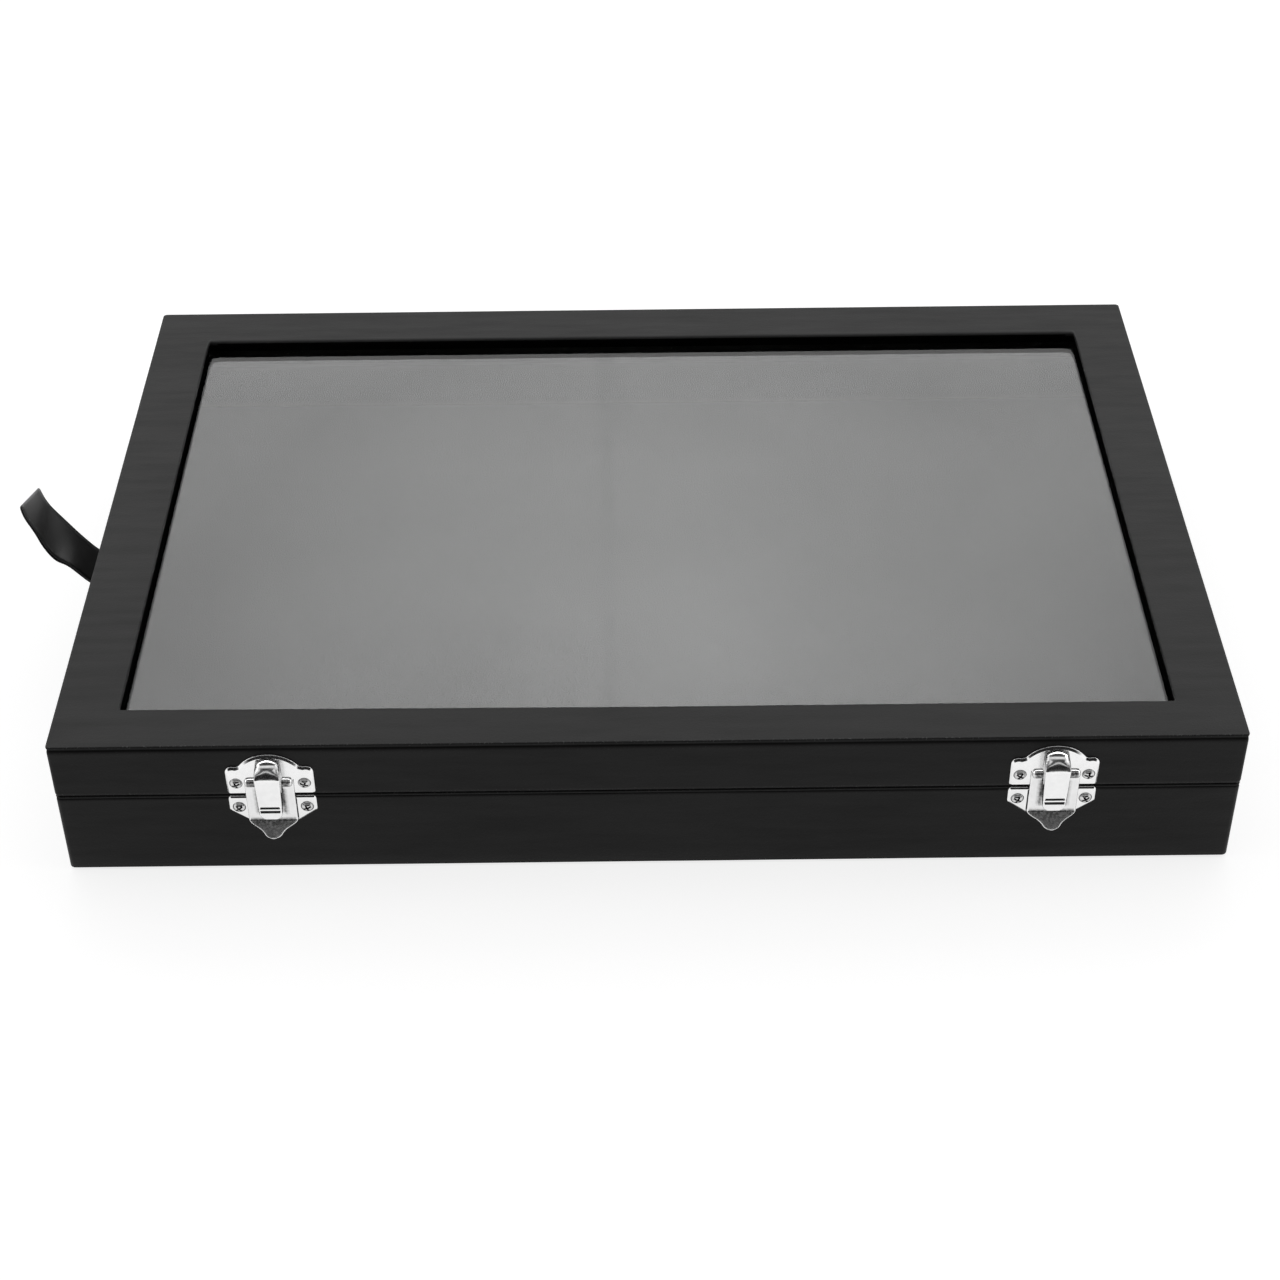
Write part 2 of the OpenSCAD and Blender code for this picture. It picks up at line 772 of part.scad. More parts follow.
// Latch plate on the base: flat wings, a raised bridge over the parting line with two knuckles for the pin,
// and a tongue that flares out below the bridge
module latch_plate() {
    difference() {
        union() {
            linear_extrude(plate_t) latch_outline();
            intersection() {
                across(bridge_w) bridge_profile();
                linear_extrude(2 * lever_rise) {
                    tongue_outline();
                    translate([-bridge_w / 2, -bridge_foot - fuse])
                        square([bridge_w, bridge_foot + fuse + pin_h]);
                }
            }
            // Side walls that carry the bridge
            for (side = [-1, 1])
                translate([side * (bridge_w - plate_t) / 2, 0, 0]) across(plate_t) polygon([
                    [plate_head, 0], [plate_head, bridge_rise - fuse], [-bridge_foot, bridge_rise - fuse],
                    [-wing_foot, plate_t], [-wing_foot, 0]
                ]);
            bar_x(knuckle_d, bridge_w - 2 * fuse, pin_h, pin_rise);
        }
        // Hollow behind the bridge
        translate([-bridge_w / 2 + plate_t, -wing_foot - past, -past])
            cube([bridge_w - 2 * plate_t, wing_foot + 2 * past, bridge_rise - plate_t + past]);
        // Notch between the knuckles for the lever
        translate([-notch_half, notch_foot, 0]) cube([2 * notch_half, arch_h, 2 * lever_rise]);
        bar_x(knuckle_bore_d, 2 * plate_w, pin_h, pin_rise);
        pair(plate_screw_pitch, -plate_screw_h)
            translate([0, 0, -past]) cylinder(d = screw_hole_d, h = plate_t + 2 * past);
    }
}

// Strike plate on the lid, with the ramped catch that the lever's nose holds down
module strike_plate() {
    difference() {
        union() {
            linear_extrude(plate_t) strike_outline();
            across(catch_w) polygon([
                [catch_top, 0], [catch_top, catch_rise], [catch_top - catch_land, catch_rise],
                [ramp_foot, plate_t], [ramp_foot, 0]
            ]);
        }
        pair(plate_screw_pitch, strike_screw_h)
            translate([0, 0, -past]) cylinder(d = screw_hole_d, h = plate_t + 2 * past);
    }
}

// Front view of the lever's flat face, with round corners at the tail
module lever_face() {
    inner = lever_w / 2 - tail_r;
    translate([-lever_w / 2, -tail_h + tail_r]) square([lever_w, head_start + tail_h - tail_r]);
    translate([-inner, -tail_h]) square([2 * inner, 2 * tail_r]);
    pair(2 * inner, -tail_h + tail_r) circle(r = tail_r);
}

// Side view of a lever's cheek, height by rise: it tapers to the tail so that the lever can be pressed in
module cheek_profile() {
    root = bridge_rise + rub_clear;
    taper_top = notch_foot;
    taper_foot = -tail_h + tail_r;
    polygon([
        [taper_foot, lever_back + fuse],
        [taper_foot, min(lever_back, root + (pin_h - taper_foot) * tan(lever_press))],
        [taper_top, root + (pin_h - taper_top) * tan(lever_press)],
        [pin_h - boss_r, pin_rise], [pin_h, pin_rise - boss_r], [head_start, pin_rise - boss_r],
        [head_start, lever_back + fuse]
    ]);
    translate([pin_h, pin_rise]) circle(r = boss_r);
    intersection() {
        translate([head_start, nose_rise]) circle(r = head_r - lever_t / 2);
        translate([head_start - fuse, nose_rise + lever_t / 2]) square(2 * head_r);
    }
}

// Lever: a pressed channel with a flat face, two grip ridges, cheeks for the pin and a rounded head that
// ends in a nose
module latch_lever() {
    difference() {
        union() {
            translate([0, 0, lever_back]) linear_extrude(lever_t) lever_face();
            // Rounded head, a quarter turn from the face to the nose
            translate([-lever_w / 2, head_start, nose_rise]) rotate([90, 0, 90])
                rotate_extrude(angle = 90, $fn = 96)
                    translate([head_r - lever_t, 0]) square([lever_t, lever_w]);
            for (side = [-1, 1])
                translate([side * (lever_w - lever_t) / 2, 0, 0]) across(lever_t) cheek_profile();
            for (i = [0, 1])
                bar_x(2 * ridge_r, lever_w - 2 * lever_t,
                      head_start - ridge_h - i * ridge_pitch, lever_rise - ridge_sink);
        }
        bar_x(lever_bore_d, 2 * lever_w, pin_h, pin_rise);
    }
}

module latch_pin() {
    bar_x(pin_d, bridge_w - 2 * fuse, pin_h, pin_rise);
}

// Return spring: a bent strip whose foot lies on the bridge and whose arm pushes the lever's tail out
module latch_spring() {
    across(spring_w) {
        translate([spring_foot, bridge_rise]) square([spring_bend - spring_foot, spring_t]);
        translate([spring_bend, bridge_rise + spring_t]) circle(r = spring_t);
        polygon([
            [spring_bend, bridge_rise + 2 * spring_t], [spring_bend, bridge_rise + spring_t],
            [spring_tip, bridge_rise + spring_reach - spring_t], [spring_tip, bridge_rise + spring_reach]
        ]);
    }
}

module left_latch_plate() {
    color("#d5d7d9") at_front(latch_left_x) latch_plate();
}

module right_latch_plate() {
    color("#d5d7d9") at_front(latch_right_x) latch_plate();
}

module left_strike_plate() {
    color("#d5d7d9") at_front(latch_left_x) strike_plate();
}

module right_strike_plate() {
    color("#d5d7d9") at_front(latch_right_x) strike_plate();
}

module left_latch_lever() {
    color("#e3e5e7") at_front(latch_left_x) latch_lever();
}

module right_latch_lever() {
    color("#e3e5e7") at_front(latch_right_x) latch_lever();
}

module left_latch_pin() {
    color("#a9abad") at_front(latch_left_x) latch_pin();
}

module right_latch_pin() {
    color("#a9abad") at_front(latch_right_x) latch_pin();
}

module left_latch_spring() {
    color("#8e9093") at_front(latch_left_x) latch_spring();
}

module right_latch_spring() {
    color("#8e9093") at_front(latch_right_x) latch_spring();
}

module latch_base_screws() {
    color("#b9bbbd") at_latches() pair(plate_screw_pitch, -plate_screw_h) screw(plate_t);
}

module latch_lid_screws() {
    color("#b9bbbd") at_latches() pair(plate_screw_pitch, strike_screw_h) screw(plate_t);
}

base_bottom_board();
base_front_board();
base_rear_board();
base_left_board();
base_right_board();
base_wrap();
base_underside_sheet();
base_wall_lining();
insert_backing_card();
display_pad();
ribbon_pull();
left_hinge_base_leaf();
right_hinge_base_leaf();
left_hinge_pin();
right_hinge_pin();
hinge_base_screws();
left_latch_plate();
right_latch_plate();
left_latch_pin();
right_latch_pin();
left_latch_spring();
right_latch_spring();
latch_base_screws();
lid_top_frame();
lid_front_board();
lid_rear_board();
lid_left_board();
lid_right_board();
lid_wrap();
lid_wall_lining();
glass_pane();
glass_stop_front();
glass_stop_rear();
glass_stop_left();
glass_stop_right();
left_hinge_lid_leaf();
right_hinge_lid_leaf();
hinge_lid_screws();
left_strike_plate();
right_strike_plate();
latch_lid_screws();
left_latch_lever();
right_latch_lever();
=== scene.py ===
# %% [markdown]
# # A glass-topped jewelry display case
# The case is two covered board trays, hinged at the rear. The lid is a frame round a pane of glass, two
# pressed-metal latches close it at the front, and a folded satin ribbon stands out of the left side.
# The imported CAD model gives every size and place. This lesson dresses it piece by piece: coverings, glass,
# cloth, hardware and ribbon, each with a finish made of shader nodes.

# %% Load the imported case
import math

import bmesh
import bpy
from mathutils import Matrix, Vector, noise


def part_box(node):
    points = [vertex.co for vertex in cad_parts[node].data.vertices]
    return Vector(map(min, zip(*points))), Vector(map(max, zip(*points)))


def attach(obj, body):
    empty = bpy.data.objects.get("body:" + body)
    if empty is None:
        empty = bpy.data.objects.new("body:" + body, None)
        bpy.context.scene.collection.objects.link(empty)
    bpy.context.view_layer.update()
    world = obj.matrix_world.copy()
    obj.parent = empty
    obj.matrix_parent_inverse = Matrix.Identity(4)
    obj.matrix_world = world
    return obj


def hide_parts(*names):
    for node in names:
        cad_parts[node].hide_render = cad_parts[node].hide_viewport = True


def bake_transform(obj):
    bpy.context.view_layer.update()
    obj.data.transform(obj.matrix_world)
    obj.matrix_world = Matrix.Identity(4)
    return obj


MM = 0.001
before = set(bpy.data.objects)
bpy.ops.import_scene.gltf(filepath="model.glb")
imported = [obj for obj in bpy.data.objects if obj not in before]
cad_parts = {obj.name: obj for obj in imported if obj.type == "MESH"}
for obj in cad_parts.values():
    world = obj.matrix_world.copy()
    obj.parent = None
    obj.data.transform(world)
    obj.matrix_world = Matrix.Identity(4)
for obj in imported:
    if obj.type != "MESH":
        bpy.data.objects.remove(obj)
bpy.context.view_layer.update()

# %% [markdown]
# ## Camera
# The camera comes first, because every later choice is judged through it. Eight corners of the case in the
# photograph fix the lens, the height and the small roll of the camera.

# %% Camera at the photograph's angle
eye = bpy.data.cameras.new("photo_camera")
eye.sensor_width = 36.0
eye.lens = 68.495
eye.clip_start = 0.02
camera = bpy.data.objects.new("photo_camera", eye)
camera.location = Vector((-2.43, -650.9, 515.7)) * MM
camera.rotation_euler = [math.radians(a) for a in (51.071, 0.468, -0.434)]
bpy.context.collection.objects.link(camera)
bpy.context.scene.camera = camera
bpy.context.scene.view_settings.view_transform = "Standard"
print("camera", [round(v, 3) for v in camera.location], "lens", eye.lens)

# %% [markdown]
# ## Node helpers
# A shader is a small graph. `add` makes one node, sets its properties and fills its inputs: a value is stored
# on the socket, and another node's output is linked to it. The others are short names for common nodes.


# %% Helper that adds one node to a tree
def add(tree, kind, inputs=None, **props):
    made = tree.nodes.new(kind)
    for name, value in props.items():
        setattr(made, name, value)
    for key, value in (inputs or {}).items():
        if isinstance(value, bpy.types.NodeSocket):
            tree.links.new(value, made.inputs[key])
        else:
            made.inputs[key].default_value = value
    return made


# %% Helpers for patterns and numbers
def coords(tree):
    """Object coordinates, in metres."""
    return add(tree, "ShaderNodeTexCoord").outputs["Object"]


def attribute(tree, name):
    """A number that the mesh stores on its points."""
    return add(tree, "ShaderNodeAttribute", attribute_name=name).outputs["Fac"]


def grain(tree, scale, stretch=(1, 1, 1), detail=3.0, rough=0.5, where=None):
    """Noise, on object coordinates unless others are given: scale is in repeats for each metre."""
    if where is None:
        where = coords(tree)
    at = add(tree, "ShaderNodeMapping", {"Vector": where, "Scale": stretch})
    made = add(tree, "ShaderNodeTexNoise", {
        "Vector": at.outputs[0], "Scale": scale, "Detail": detail, "Roughness": rough,
    })
    return made.outputs[0]


def spread(tree, value, low, high, to_low, to_high):
    """Maps a value from one range to another and clamps it."""
    made = add(tree, "ShaderNodeMapRange", {
        "Value": value, "From Min": low, "From Max": high, "To Min": to_low, "To Max": to_high,
    })
    return made.outputs[0]


def sums(tree, kind, a, b=0.0):
    return add(tree, "ShaderNodeMath", {0: a, 1: b}, operation=kind).outputs[0]


# %% Helpers for finishes
def finish_tree(name):
    """A new material with a lone Principled shader, and its tree."""
    made = bpy.data.materials.new(name)
    made.use_nodes = True
    tree = made.node_tree
    print("finish", name)
    return made, tree, tree.nodes["Principled BSDF"]


def tint(tree, share, first, second):
    """A mix of two colours by a share from 0 to 1. Each is a grey level, a triple or a node's output."""
    ends = []
    for colour in (first, second):
        if isinstance(colour, float):
            colour = (colour, colour, colour)
        ends.append((*colour, 1) if isinstance(colour, tuple) else colour)
    return add(tree, "ShaderNodeMix", {0: share, 6: ends[0], 7: ends[1]}, data_type="RGBA").outputs[2]


def dent(tree, height, depth, strength, under=None):
    """Bump: depth is the real height of the pattern, in metres."""
    inputs = {"Height": height, "Distance": depth, "Strength": strength}
    if under is not None:
        inputs["Normal"] = under
    return add(tree, "ShaderNodeBump", inputs).outputs[0]


def paint(tree, shader, colour, rough, bump):
    for value, name in ((colour, "Base Color"), (rough, "Roughness"), (bump, "Normal")):
        tree.links.new(value, shader.inputs[name])


# %% [markdown]
# ## Floor, world and lamps
# The case stands on a white table. A big diffuser hangs behind and above it: the pane mirrors that diffuser,
# which is why black glass looks grey in the photograph. Two smaller boxes stand at the sides. The room behind
# the camera is dark, and bright metal needs that dark to look like metal.

# %% White table
table = bpy.data.meshes.new("table")
table.from_pydata([(-4, -4, 0), (4, -4, 0), (4, 4, 0), (-4, 4, 0)], [], [(0, 1, 2, 3)])
table_top = bpy.data.objects.new("table", table)
table_top.location.z = -0.1 * MM
bpy.context.collection.objects.link(table_top)

table_white, tree, shader = finish_tree("table_white")
tree.nodes.remove(shader)
path = add(tree, "ShaderNodeLightPath").outputs
seen = sums(tree, "MAXIMUM", path["Is Camera Ray"], path["Is Glossy Ray"])
seen = sums(tree, "MAXIMUM", seen, path["Is Transmission Ray"])
lit = add(tree, "ShaderNodeBsdfDiffuse", {"Color": (0.4, 0.4, 0.4, 1)})
glow = sums(tree, "MULTIPLY", seen, 0.79)
own = add(tree, "ShaderNodeEmission", {"Color": (1, 1, 1, 1), "Strength": glow})
both = add(tree, "ShaderNodeAddShader", {0: lit.outputs[0], 1: own.outputs[0]})
tree.links.new(both.outputs[0], tree.nodes["Material Output"].inputs["Surface"])
table.materials.append(table_white)
print("table", table_top.dimensions[:2])

# %% [markdown]
# The world answers three kinds of ray. The camera sees plain white, a matt surface gets soft light, and a
# mirror sees a studio room. That room is painted by direction: bands of light and dark run from the horizon
# behind the camera (0), over the top (0.5), to the horizon behind the case (1). They fade at the far end, so
# that the glass doesn't turn white when it is seen from low down.

# %% Bands of the mirrored room
BANDS = [
    (0.0, 0.02), (0.15, 0.02), (0.17, 0.8), (0.19, 0.8), (0.21, 0.05), (0.27, 0.05), (0.31, 1.0),
    (0.36, 1.0), (0.4, 0.05), (0.54, 0.05), (0.58, 1.0), (0.85, 1.0), (0.92, 0.3), (1.0, 0.25),
]
world = bpy.data.worlds.new("studio")
bpy.context.scene.world = world
world.use_nodes = True
tree = world.node_tree
path = add(tree, "ShaderNodeLightPath").outputs
looking = add(tree, "ShaderNodeTexCoord").outputs["Generated"]
way = add(tree, "ShaderNodeSeparateXYZ", {0: looking}).outputs
over = sums(tree, "ARCTAN2", way["Z"], sums(tree, "MULTIPLY", way["Y"], -1.0))
over = sums(tree, "DIVIDE", over, math.pi)
room = add(tree, "ShaderNodeValToRGB", {0: over})
ramp = room.color_ramp
while len(ramp.elements) < len(BANDS):
    ramp.elements.new(0.5)
for element, (where, grey) in zip(ramp.elements, BANDS):
    element.position, element.color = where, (grey, grey, grey, 1)
high = spread(tree, way["Z"], 0.8, 0.92, 0, 0.25)
aside = sums(tree, "ADD", sums(tree, "ABSOLUTE", way["X"]), high)
side_boxes = spread(tree, aside, 0.6, 0.82, 0, 1)
room_light = sums(tree, "MAXIMUM", room.outputs[0], side_boxes)
print("mirrored room with", len(ramp.elements), "stops")

# %% [markdown]
# The diffuser isn't even. A lamp behind its cloth makes a soft hot spot, the cloth is a little cloudy, and
# one faint crease hangs down near its middle. All three show in the glass of the photograph.

# %% Hot spot, cloth and crease of the diffuser
SPOT_X, SPOT_Z, SPOT_W, SPOT_H = 0.005, 0.636, 0.2, 0.11
CREASE_X = -0.012
off_x = sums(tree, "DIVIDE", sums(tree, "SUBTRACT", way["X"], SPOT_X), SPOT_W)
off_z = sums(tree, "DIVIDE", sums(tree, "SUBTRACT", way["Z"], SPOT_Z), SPOT_H)
off = sums(tree, "ADD", sums(tree, "MULTIPLY", off_x, off_x), sums(tree, "MULTIPLY", off_z, off_z))
off = sums(tree, "SQRT", off)
spot = sums(tree, "MAXIMUM", spread(tree, off, 0.15, 1.0, 1.1, 0.38), spread(tree, off, 1.6, 2.6, 0.38, 1.8))
cloth = grain(tree, 9.0, stretch=(1, 1, 2.5), detail=4.0, where=looking)
crease = sums(tree, "ABSOLUTE", sums(tree, "SUBTRACT", way["X"], CREASE_X))
crease = spread(tree, crease, 0.001, 0.0035, -0.13, 0)
spot = sums(tree, "ADD", spot, sums(tree, "ADD", spread(tree, cloth, 0.3, 0.7, -0.09, 0.09), crease))
behind = spread(tree, way["Y"], 0.0, 0.3, 0, 1)
spot = sums(tree, "ADD", sums(tree, "MULTIPLY", spot, behind), sums(tree, "SUBTRACT", 1.0, behind))
ceiling = sums(tree, "MULTIPLY", spread(tree, over, 0.54, 0.6, 0, 1.6), spread(tree, over, 0.69, 0.76, 1, 0))
mirror = sums(tree, "MULTIPLY", sums(tree, "MULTIPLY", room_light, spot), sums(tree, "ADD", ceiling, 1.0))
print("hot spot at", SPOT_X, SPOT_Z, "and crease at", CREASE_X)

# %% What each kind of ray gets
white = sums(tree, "MAXIMUM", path["Is Camera Ray"], path["Is Transmission Ray"])
soft = spread(tree, way["Y"], -0.7, 0.4, 0.1, 0.78)
level = sums(tree, "ADD", white, sums(tree, "MULTIPLY", path["Is Glossy Ray"], mirror))
matt = sums(tree, "SUBTRACT", 1.0, sums(tree, "MAXIMUM", white, path["Is Glossy Ray"]))
level = sums(tree, "ADD", level, sums(tree, "MULTIPLY", matt, soft))
tree.links.new(level, tree.nodes["Background"].inputs["Strength"])
tree.nodes["Background"].inputs["Color"].default_value = (1, 1, 1, 1)
print("world", len(tree.nodes), "nodes")


# %% Diffuser boxes
def diffuser(name, place, size, radiance):
    lamp = bpy.data.lights.new(name, "AREA")
    lamp.shape = "RECTANGLE"
    lamp.size, lamp.size_y = size
    lamp.energy = radiance * math.pi * size[0] * size[1]
    box = bpy.data.objects.new(name, lamp)
    box.location = place
    box.rotation_euler = (Vector((0, 0, 0.03)) - Vector(place)).to_track_quat("-Z", "Y").to_euler()
    box.visible_camera = False
    bpy.context.collection.objects.link(box)


diffuser("rear_diffuser", (0, 1.15, 0.95), (2.0, 1.15), 0.8)
diffuser("left_diffuser", (-1.35, -0.15, 0.75), (0.7, 0.8), 1.3)
diffuser("right_diffuser", (1.35, -0.15, 0.75), (0.7, 0.8), 1.3)

# %% [markdown]
# ## Finishes
# Each finish is a Principled shader whose colour, roughness and bump come from noise in object coordinates,
# so that a pattern keeps its real size in millimetres on every piece.

# %% Black leatherette
# A thin plastic film on paper: fine pebbles, faint streaks along the roll, and edges worn by rubbing, whose
# light flecks are made strong on the lid's lip and top edge as a painted highlight. "deep" marks the places
# that no
# light reaches: there the colour is painted shade.
leatherette, tree, shader = finish_tree("leatherette")
pebble = add(tree, "ShaderNodeTexVoronoi", {"Vector": coords(tree), "Scale": 1500.0}).outputs["Distance"]
fine = grain(tree, 2600.0, detail=2.0)
streak = grain(tree, 1.0, stretch=(35, 260, 260), detail=4.0, rough=0.6)
cloud = grain(tree, 14.0, detail=2.0)
flecks = spread(tree, grain(tree, 1700.0, detail=2.0), 0.6, 0.72, 0, 1)
worn = sums(tree, "MULTIPLY", attribute(tree, "rub_and_highlight"), flecks)
deep = attribute(tree, "deep")
shade = sums(tree, "ADD", sums(tree, "MULTIPLY", streak, 0.7), sums(tree, "MULTIPLY", cloud, 0.3))
colour = tint(tree, spread(tree, shade, 0.32, 0.68, 0, 1), 0.0058, 0.0095)
# Light flecks on worn edges, the strong ones being a painted highlight; deep paints shade down to near black.
colour = tint(tree, deep, tint(tree, worn, colour, 0.035), 0.001)
rough = sums(tree, "ADD", spread(tree, shade, 0.32, 0.68, 0.55, 0.4), sums(tree, "MULTIPLY", deep, 0.5))
pebbles = sums(tree, "ADD", pebble, sums(tree, "MULTIPLY", fine, 0.4))
bump = dent(tree, pebbles, 0.00005, 0.5, dent(tree, streak, 0.00012, 0.35))
paint(tree, shader, colour, rough, bump)
shader.inputs["Specular IOR Level"].default_value = 0.165

# %% Black finish for the shade inside the window
# A near-black matt finish with no gloss stands in for the shade on the window's inner walls, so they stay
# black at any angle.
window_shade_black, tree, shader = finish_tree("window_shade_black")
shade_mottle = grain(tree, 900.0, detail=2.0)
tree.links.new(tint(tree, shade_mottle, 0.0008, 0.002), shader.inputs["Base Color"])
shader.inputs["Roughness"].default_value = 0.95
shader.inputs["Specular IOR Level"].default_value = 0.0

# %% Black velvet
# Short pile: very dark face on, with a soft bright edge where the pile is seen side on.
velvet, tree, shader = finish_tree("velvet")
nap = grain(tree, 22.0, stretch=(1, 0.6, 1))
pile = grain(tree, 3200.0, detail=1.0)
colour = tint(tree, spread(tree, nap, 0.35, 0.65, 0, 1), 0.005, 0.010)
bump = dent(tree, pile, 0.0003, 0.8, dent(tree, nap, 0.0006, 0.5))
paint(tree, shader, colour, spread(tree, pile, 0.3, 0.7, 0.85, 1.0), bump)
shader.inputs["Specular IOR Level"].default_value = 0.1
shader.inputs["Sheen Weight"].default_value = 0.02
shader.inputs["Sheen Roughness"].default_value = 0.35
shader.inputs["Sheen Tint"].default_value = (0.8, 0.8, 0.8, 1)


# %% Flocked paper, fibreboard and card
# The lid's top frame is stained black, because its underside shows through the glass when the lid is open.
def plain_finish(name, scale, dark, light, rough, depth, strength, stretch=(1, 1, 1), detail=3.0):
    """One grain that drives colour, roughness and bump together."""
    made, tree, shader = finish_tree(name)
    fibre = grain(tree, scale, stretch, detail)
    colour = tint(tree, spread(tree, fibre, 0.3, 0.7, 0, 1), dark, light)
    paint(tree, shader, colour, spread(tree, fibre, 0.3, 0.7, *rough), dent(tree, fibre, depth, strength))
    return made


BOARD = dict(scale=900.0, rough=(0.75, 0.9), depth=0.0001, strength=0.6, stretch=(0.25, 1, 1), detail=5.0)
fibreboard = plain_finish("fibreboard", dark=(0.20, 0.135, 0.08), light=(0.36, 0.26, 0.165), **BOARD)
stained = plain_finish("stained_fibreboard", dark=0.009, light=0.02, **BOARD)
flock = plain_finish("flocked_paper", 1800.0, 0.008, 0.022, (0.8, 0.98), 0.0002, 0.9)
card = plain_finish("black_card", 600.0, 0.018, 0.04, (0.7, 0.85), 0.00006, 0.6, (1, 0.3, 1), 4.0)

# %% Clear glass
glass, tree, shader = finish_tree("clear_glass")
smear = grain(tree, 30.0, detail=4.0)
tree.links.new(spread(tree, smear, 0.4, 0.75, 0.0, 0.05), shader.inputs["Roughness"])
shader.inputs["Base Color"].default_value = (0.97, 0.98, 0.975, 1)
shader.inputs["Transmission Weight"].default_value = 1.0
shader.inputs["IOR"].default_value = 1.52

# %% Bright nickel and plated steel
# Pressed sheet under a bright plate, with faint ripples, and flat faces brushed a little. A darker, rougher
# colour is painted in the dished tips, beside the levers, on cut edges, on the knuckles round the pins, on
# the lever heads
# and in the screws: painted shade and painted dark reflection, with a real patina on the hinge leaves and cut
# edges. Each mesh stores where that is, and where it is brushed, as two numbers on its points.
nickel, tree, shader = finish_tree("bright_nickel")
ripple = grain(tree, 450.0, detail=2.0)
shade_and_patina, brushed = attribute(tree, "shade_and_patina"), attribute(tree, "brushed")
bright = tint(tree, spread(tree, ripple, 0.3, 0.7, 0, 1), 0.86, 0.92)
# The darker colour mixed in: painted shade and painted dark reflection, and real patina on the hinges.
dark_metal_colour = tint(tree, spread(tree, grain(tree, 1500.0), 0.4, 0.62, 0, 1), 0.03, 0.3)
rough = sums(tree, "MULTIPLY", sums(tree, "MAXIMUM", shade_and_patina, brushed), 0.2)
rough = sums(tree, "ADD", spread(tree, ripple, 0.3, 0.7, 0.08, 0.14), rough)
paint(tree, shader, tint(tree, shade_and_patina, bright, dark_metal_colour), rough, dent(tree, ripple, 0.00004, 0.25))
shader.inputs["Metallic"].default_value = 1.0

steel, tree, shader = finish_tree("plated_steel")
turned = grain(tree, 1500.0)
colour = tint(tree, spread(tree, turned, 0.3, 0.7, 0, 1), 0.55, 0.7)
# In the screws' recesses and round their heads the colour is painted near black: painted shade.
colour = tint(tree, attribute(tree, "shade_and_patina"), colour, 0.02)
paint(tree, shader, colour, spread(tree, turned, 0.3, 0.7, 0.08, 0.18), dent(tree, turned, 0.00003, 0.4))
shader.inputs["Metallic"].default_value = 1.0

# %% Satin ribbon
# Fine ribs run across the strip and threads run along it, both on the strip's own UV map. A painted highlight
# lightens the folded end.
satin, tree, shader = finish_tree("ribbon_satin")
strip = add(tree, "ShaderNodeUVMap", uv_map="strip").outputs["UV"]
ribs = add(tree, "ShaderNodeTexWave", {"Vector": strip, "Scale": 900.0, "Distortion": 0.4, "Detail": 1.0},
           wave_type="BANDS", bands_direction="Y").outputs["Fac"]
thread = grain(tree, 1.0, stretch=(3000, 260, 1), detail=2.0, where=strip)
colour = tint(tree, spread(tree, thread, 0.3, 0.7, 0, 1), 0.011, 0.022)
colour = tint(tree, attribute(tree, "fold_highlight"), colour, 0.2)
bump = dent(tree, sums(tree, "ADD", ribs, thread), 0.00005, 0.5)
paint(tree, shader, colour, spread(tree, thread, 0.3, 0.7, 0.3, 0.45), bump)
shader.inputs["Specular IOR Level"].default_value = 0.3
shader.inputs["Sheen Weight"].default_value = 0.03
shader.inputs["Sheen Roughness"].default_value = 0.3

# %% [markdown]
# ## Helpers for meshes
# Every piece is built in millimetres in its own mesh and scaled to metres at the end, with the object at the
# origin. `settle` does the shared last steps: normals, smooth shading with sharp corners, material, body and
# the CAD node that the piece stands for.


# %% Last steps of every piece
def meshed(name, bm, finish):
    """A mesh in metres, from one that was built in millimetres."""
    mesh = bpy.data.meshes.new(name)
    bm.to_mesh(mesh)
    bm.free()
    mesh.transform(Matrix.Scale(MM, 4))
    mesh.materials.append(finish)
    return mesh


def shaded(name, mesh, corner):
    """An object that is smooth but for corners sharper than an angle, in degrees."""
    mesh.shade_smooth()
    mesh.set_sharp_from_angle(angle=math.radians(corner))
    piece = bpy.data.objects.new(name, mesh)
    bpy.context.collection.objects.link(piece)
    print(f"{name}: {len(mesh.polygons)} faces")
    return piece


def join_case(piece, body, node):
    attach(piece, body)
    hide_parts(node)


def settle(name, bm, finish, body, node, corner=32.0, to_world=None):
    bmesh.ops.recalc_face_normals(bm, faces=bm.faces)
    if to_world is not None:
        bmesh.ops.transform(bm, matrix=to_world, verts=bm.verts)
    piece = shaded(name, meshed(name, bm, finish), corner)
    join_case(piece, body, node)
    return piece


# %% Numbers, turns and skins
def box_mm(node):
    """Lowest and highest corner of a CAD node, in millimetres."""
    return [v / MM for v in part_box(node)]


def clamp(v):
    return min(1.0, max(0.0, v))


def edge_fall(near, r):
    """How far a round edge of radius r has dropped, near millimetres in from its end."""
    return r - math.sqrt(max(0.0, r * r - max(0.0, r - near) ** 2))


def bend(start, end, steps):
    """Points (cos, sin) of a turn between two angles, in degrees."""
    angles = [math.radians(start + (end - start) * k / steps) for k in range(steps + 1)]
    return [(math.cos(a), math.sin(a)) for a in angles]


def ring(x, y, z, r, corner_steps=6, side_steps=(120, 84)):
    """Points of a rounded rectangle at one height, from the rear right corner, anticlockwise."""
    (x0, x1), (y0, y1) = x, y
    turns = []
    for cx, cy, start in ((x1, y1, 0), (x0, y1, 90), (x0, y0, 180), (x1, y0, 270)):
        mx = cx - math.copysign(r, cx - (x0 + x1) / 2)
        my = cy - math.copysign(r, cy - (y0 + y1) / 2)
        turns.append([Vector((mx + r * c, my + r * s, z)) for c, s in bend(start, start + 90, corner_steps)])
    points = []
    for i, turn in enumerate(turns):
        goal, steps = turns[(i + 1) % 4][0], side_steps[i % 2]
        points += turn + [turn[-1].lerp(goal, s / steps) for s in range(1, steps)]
    return points


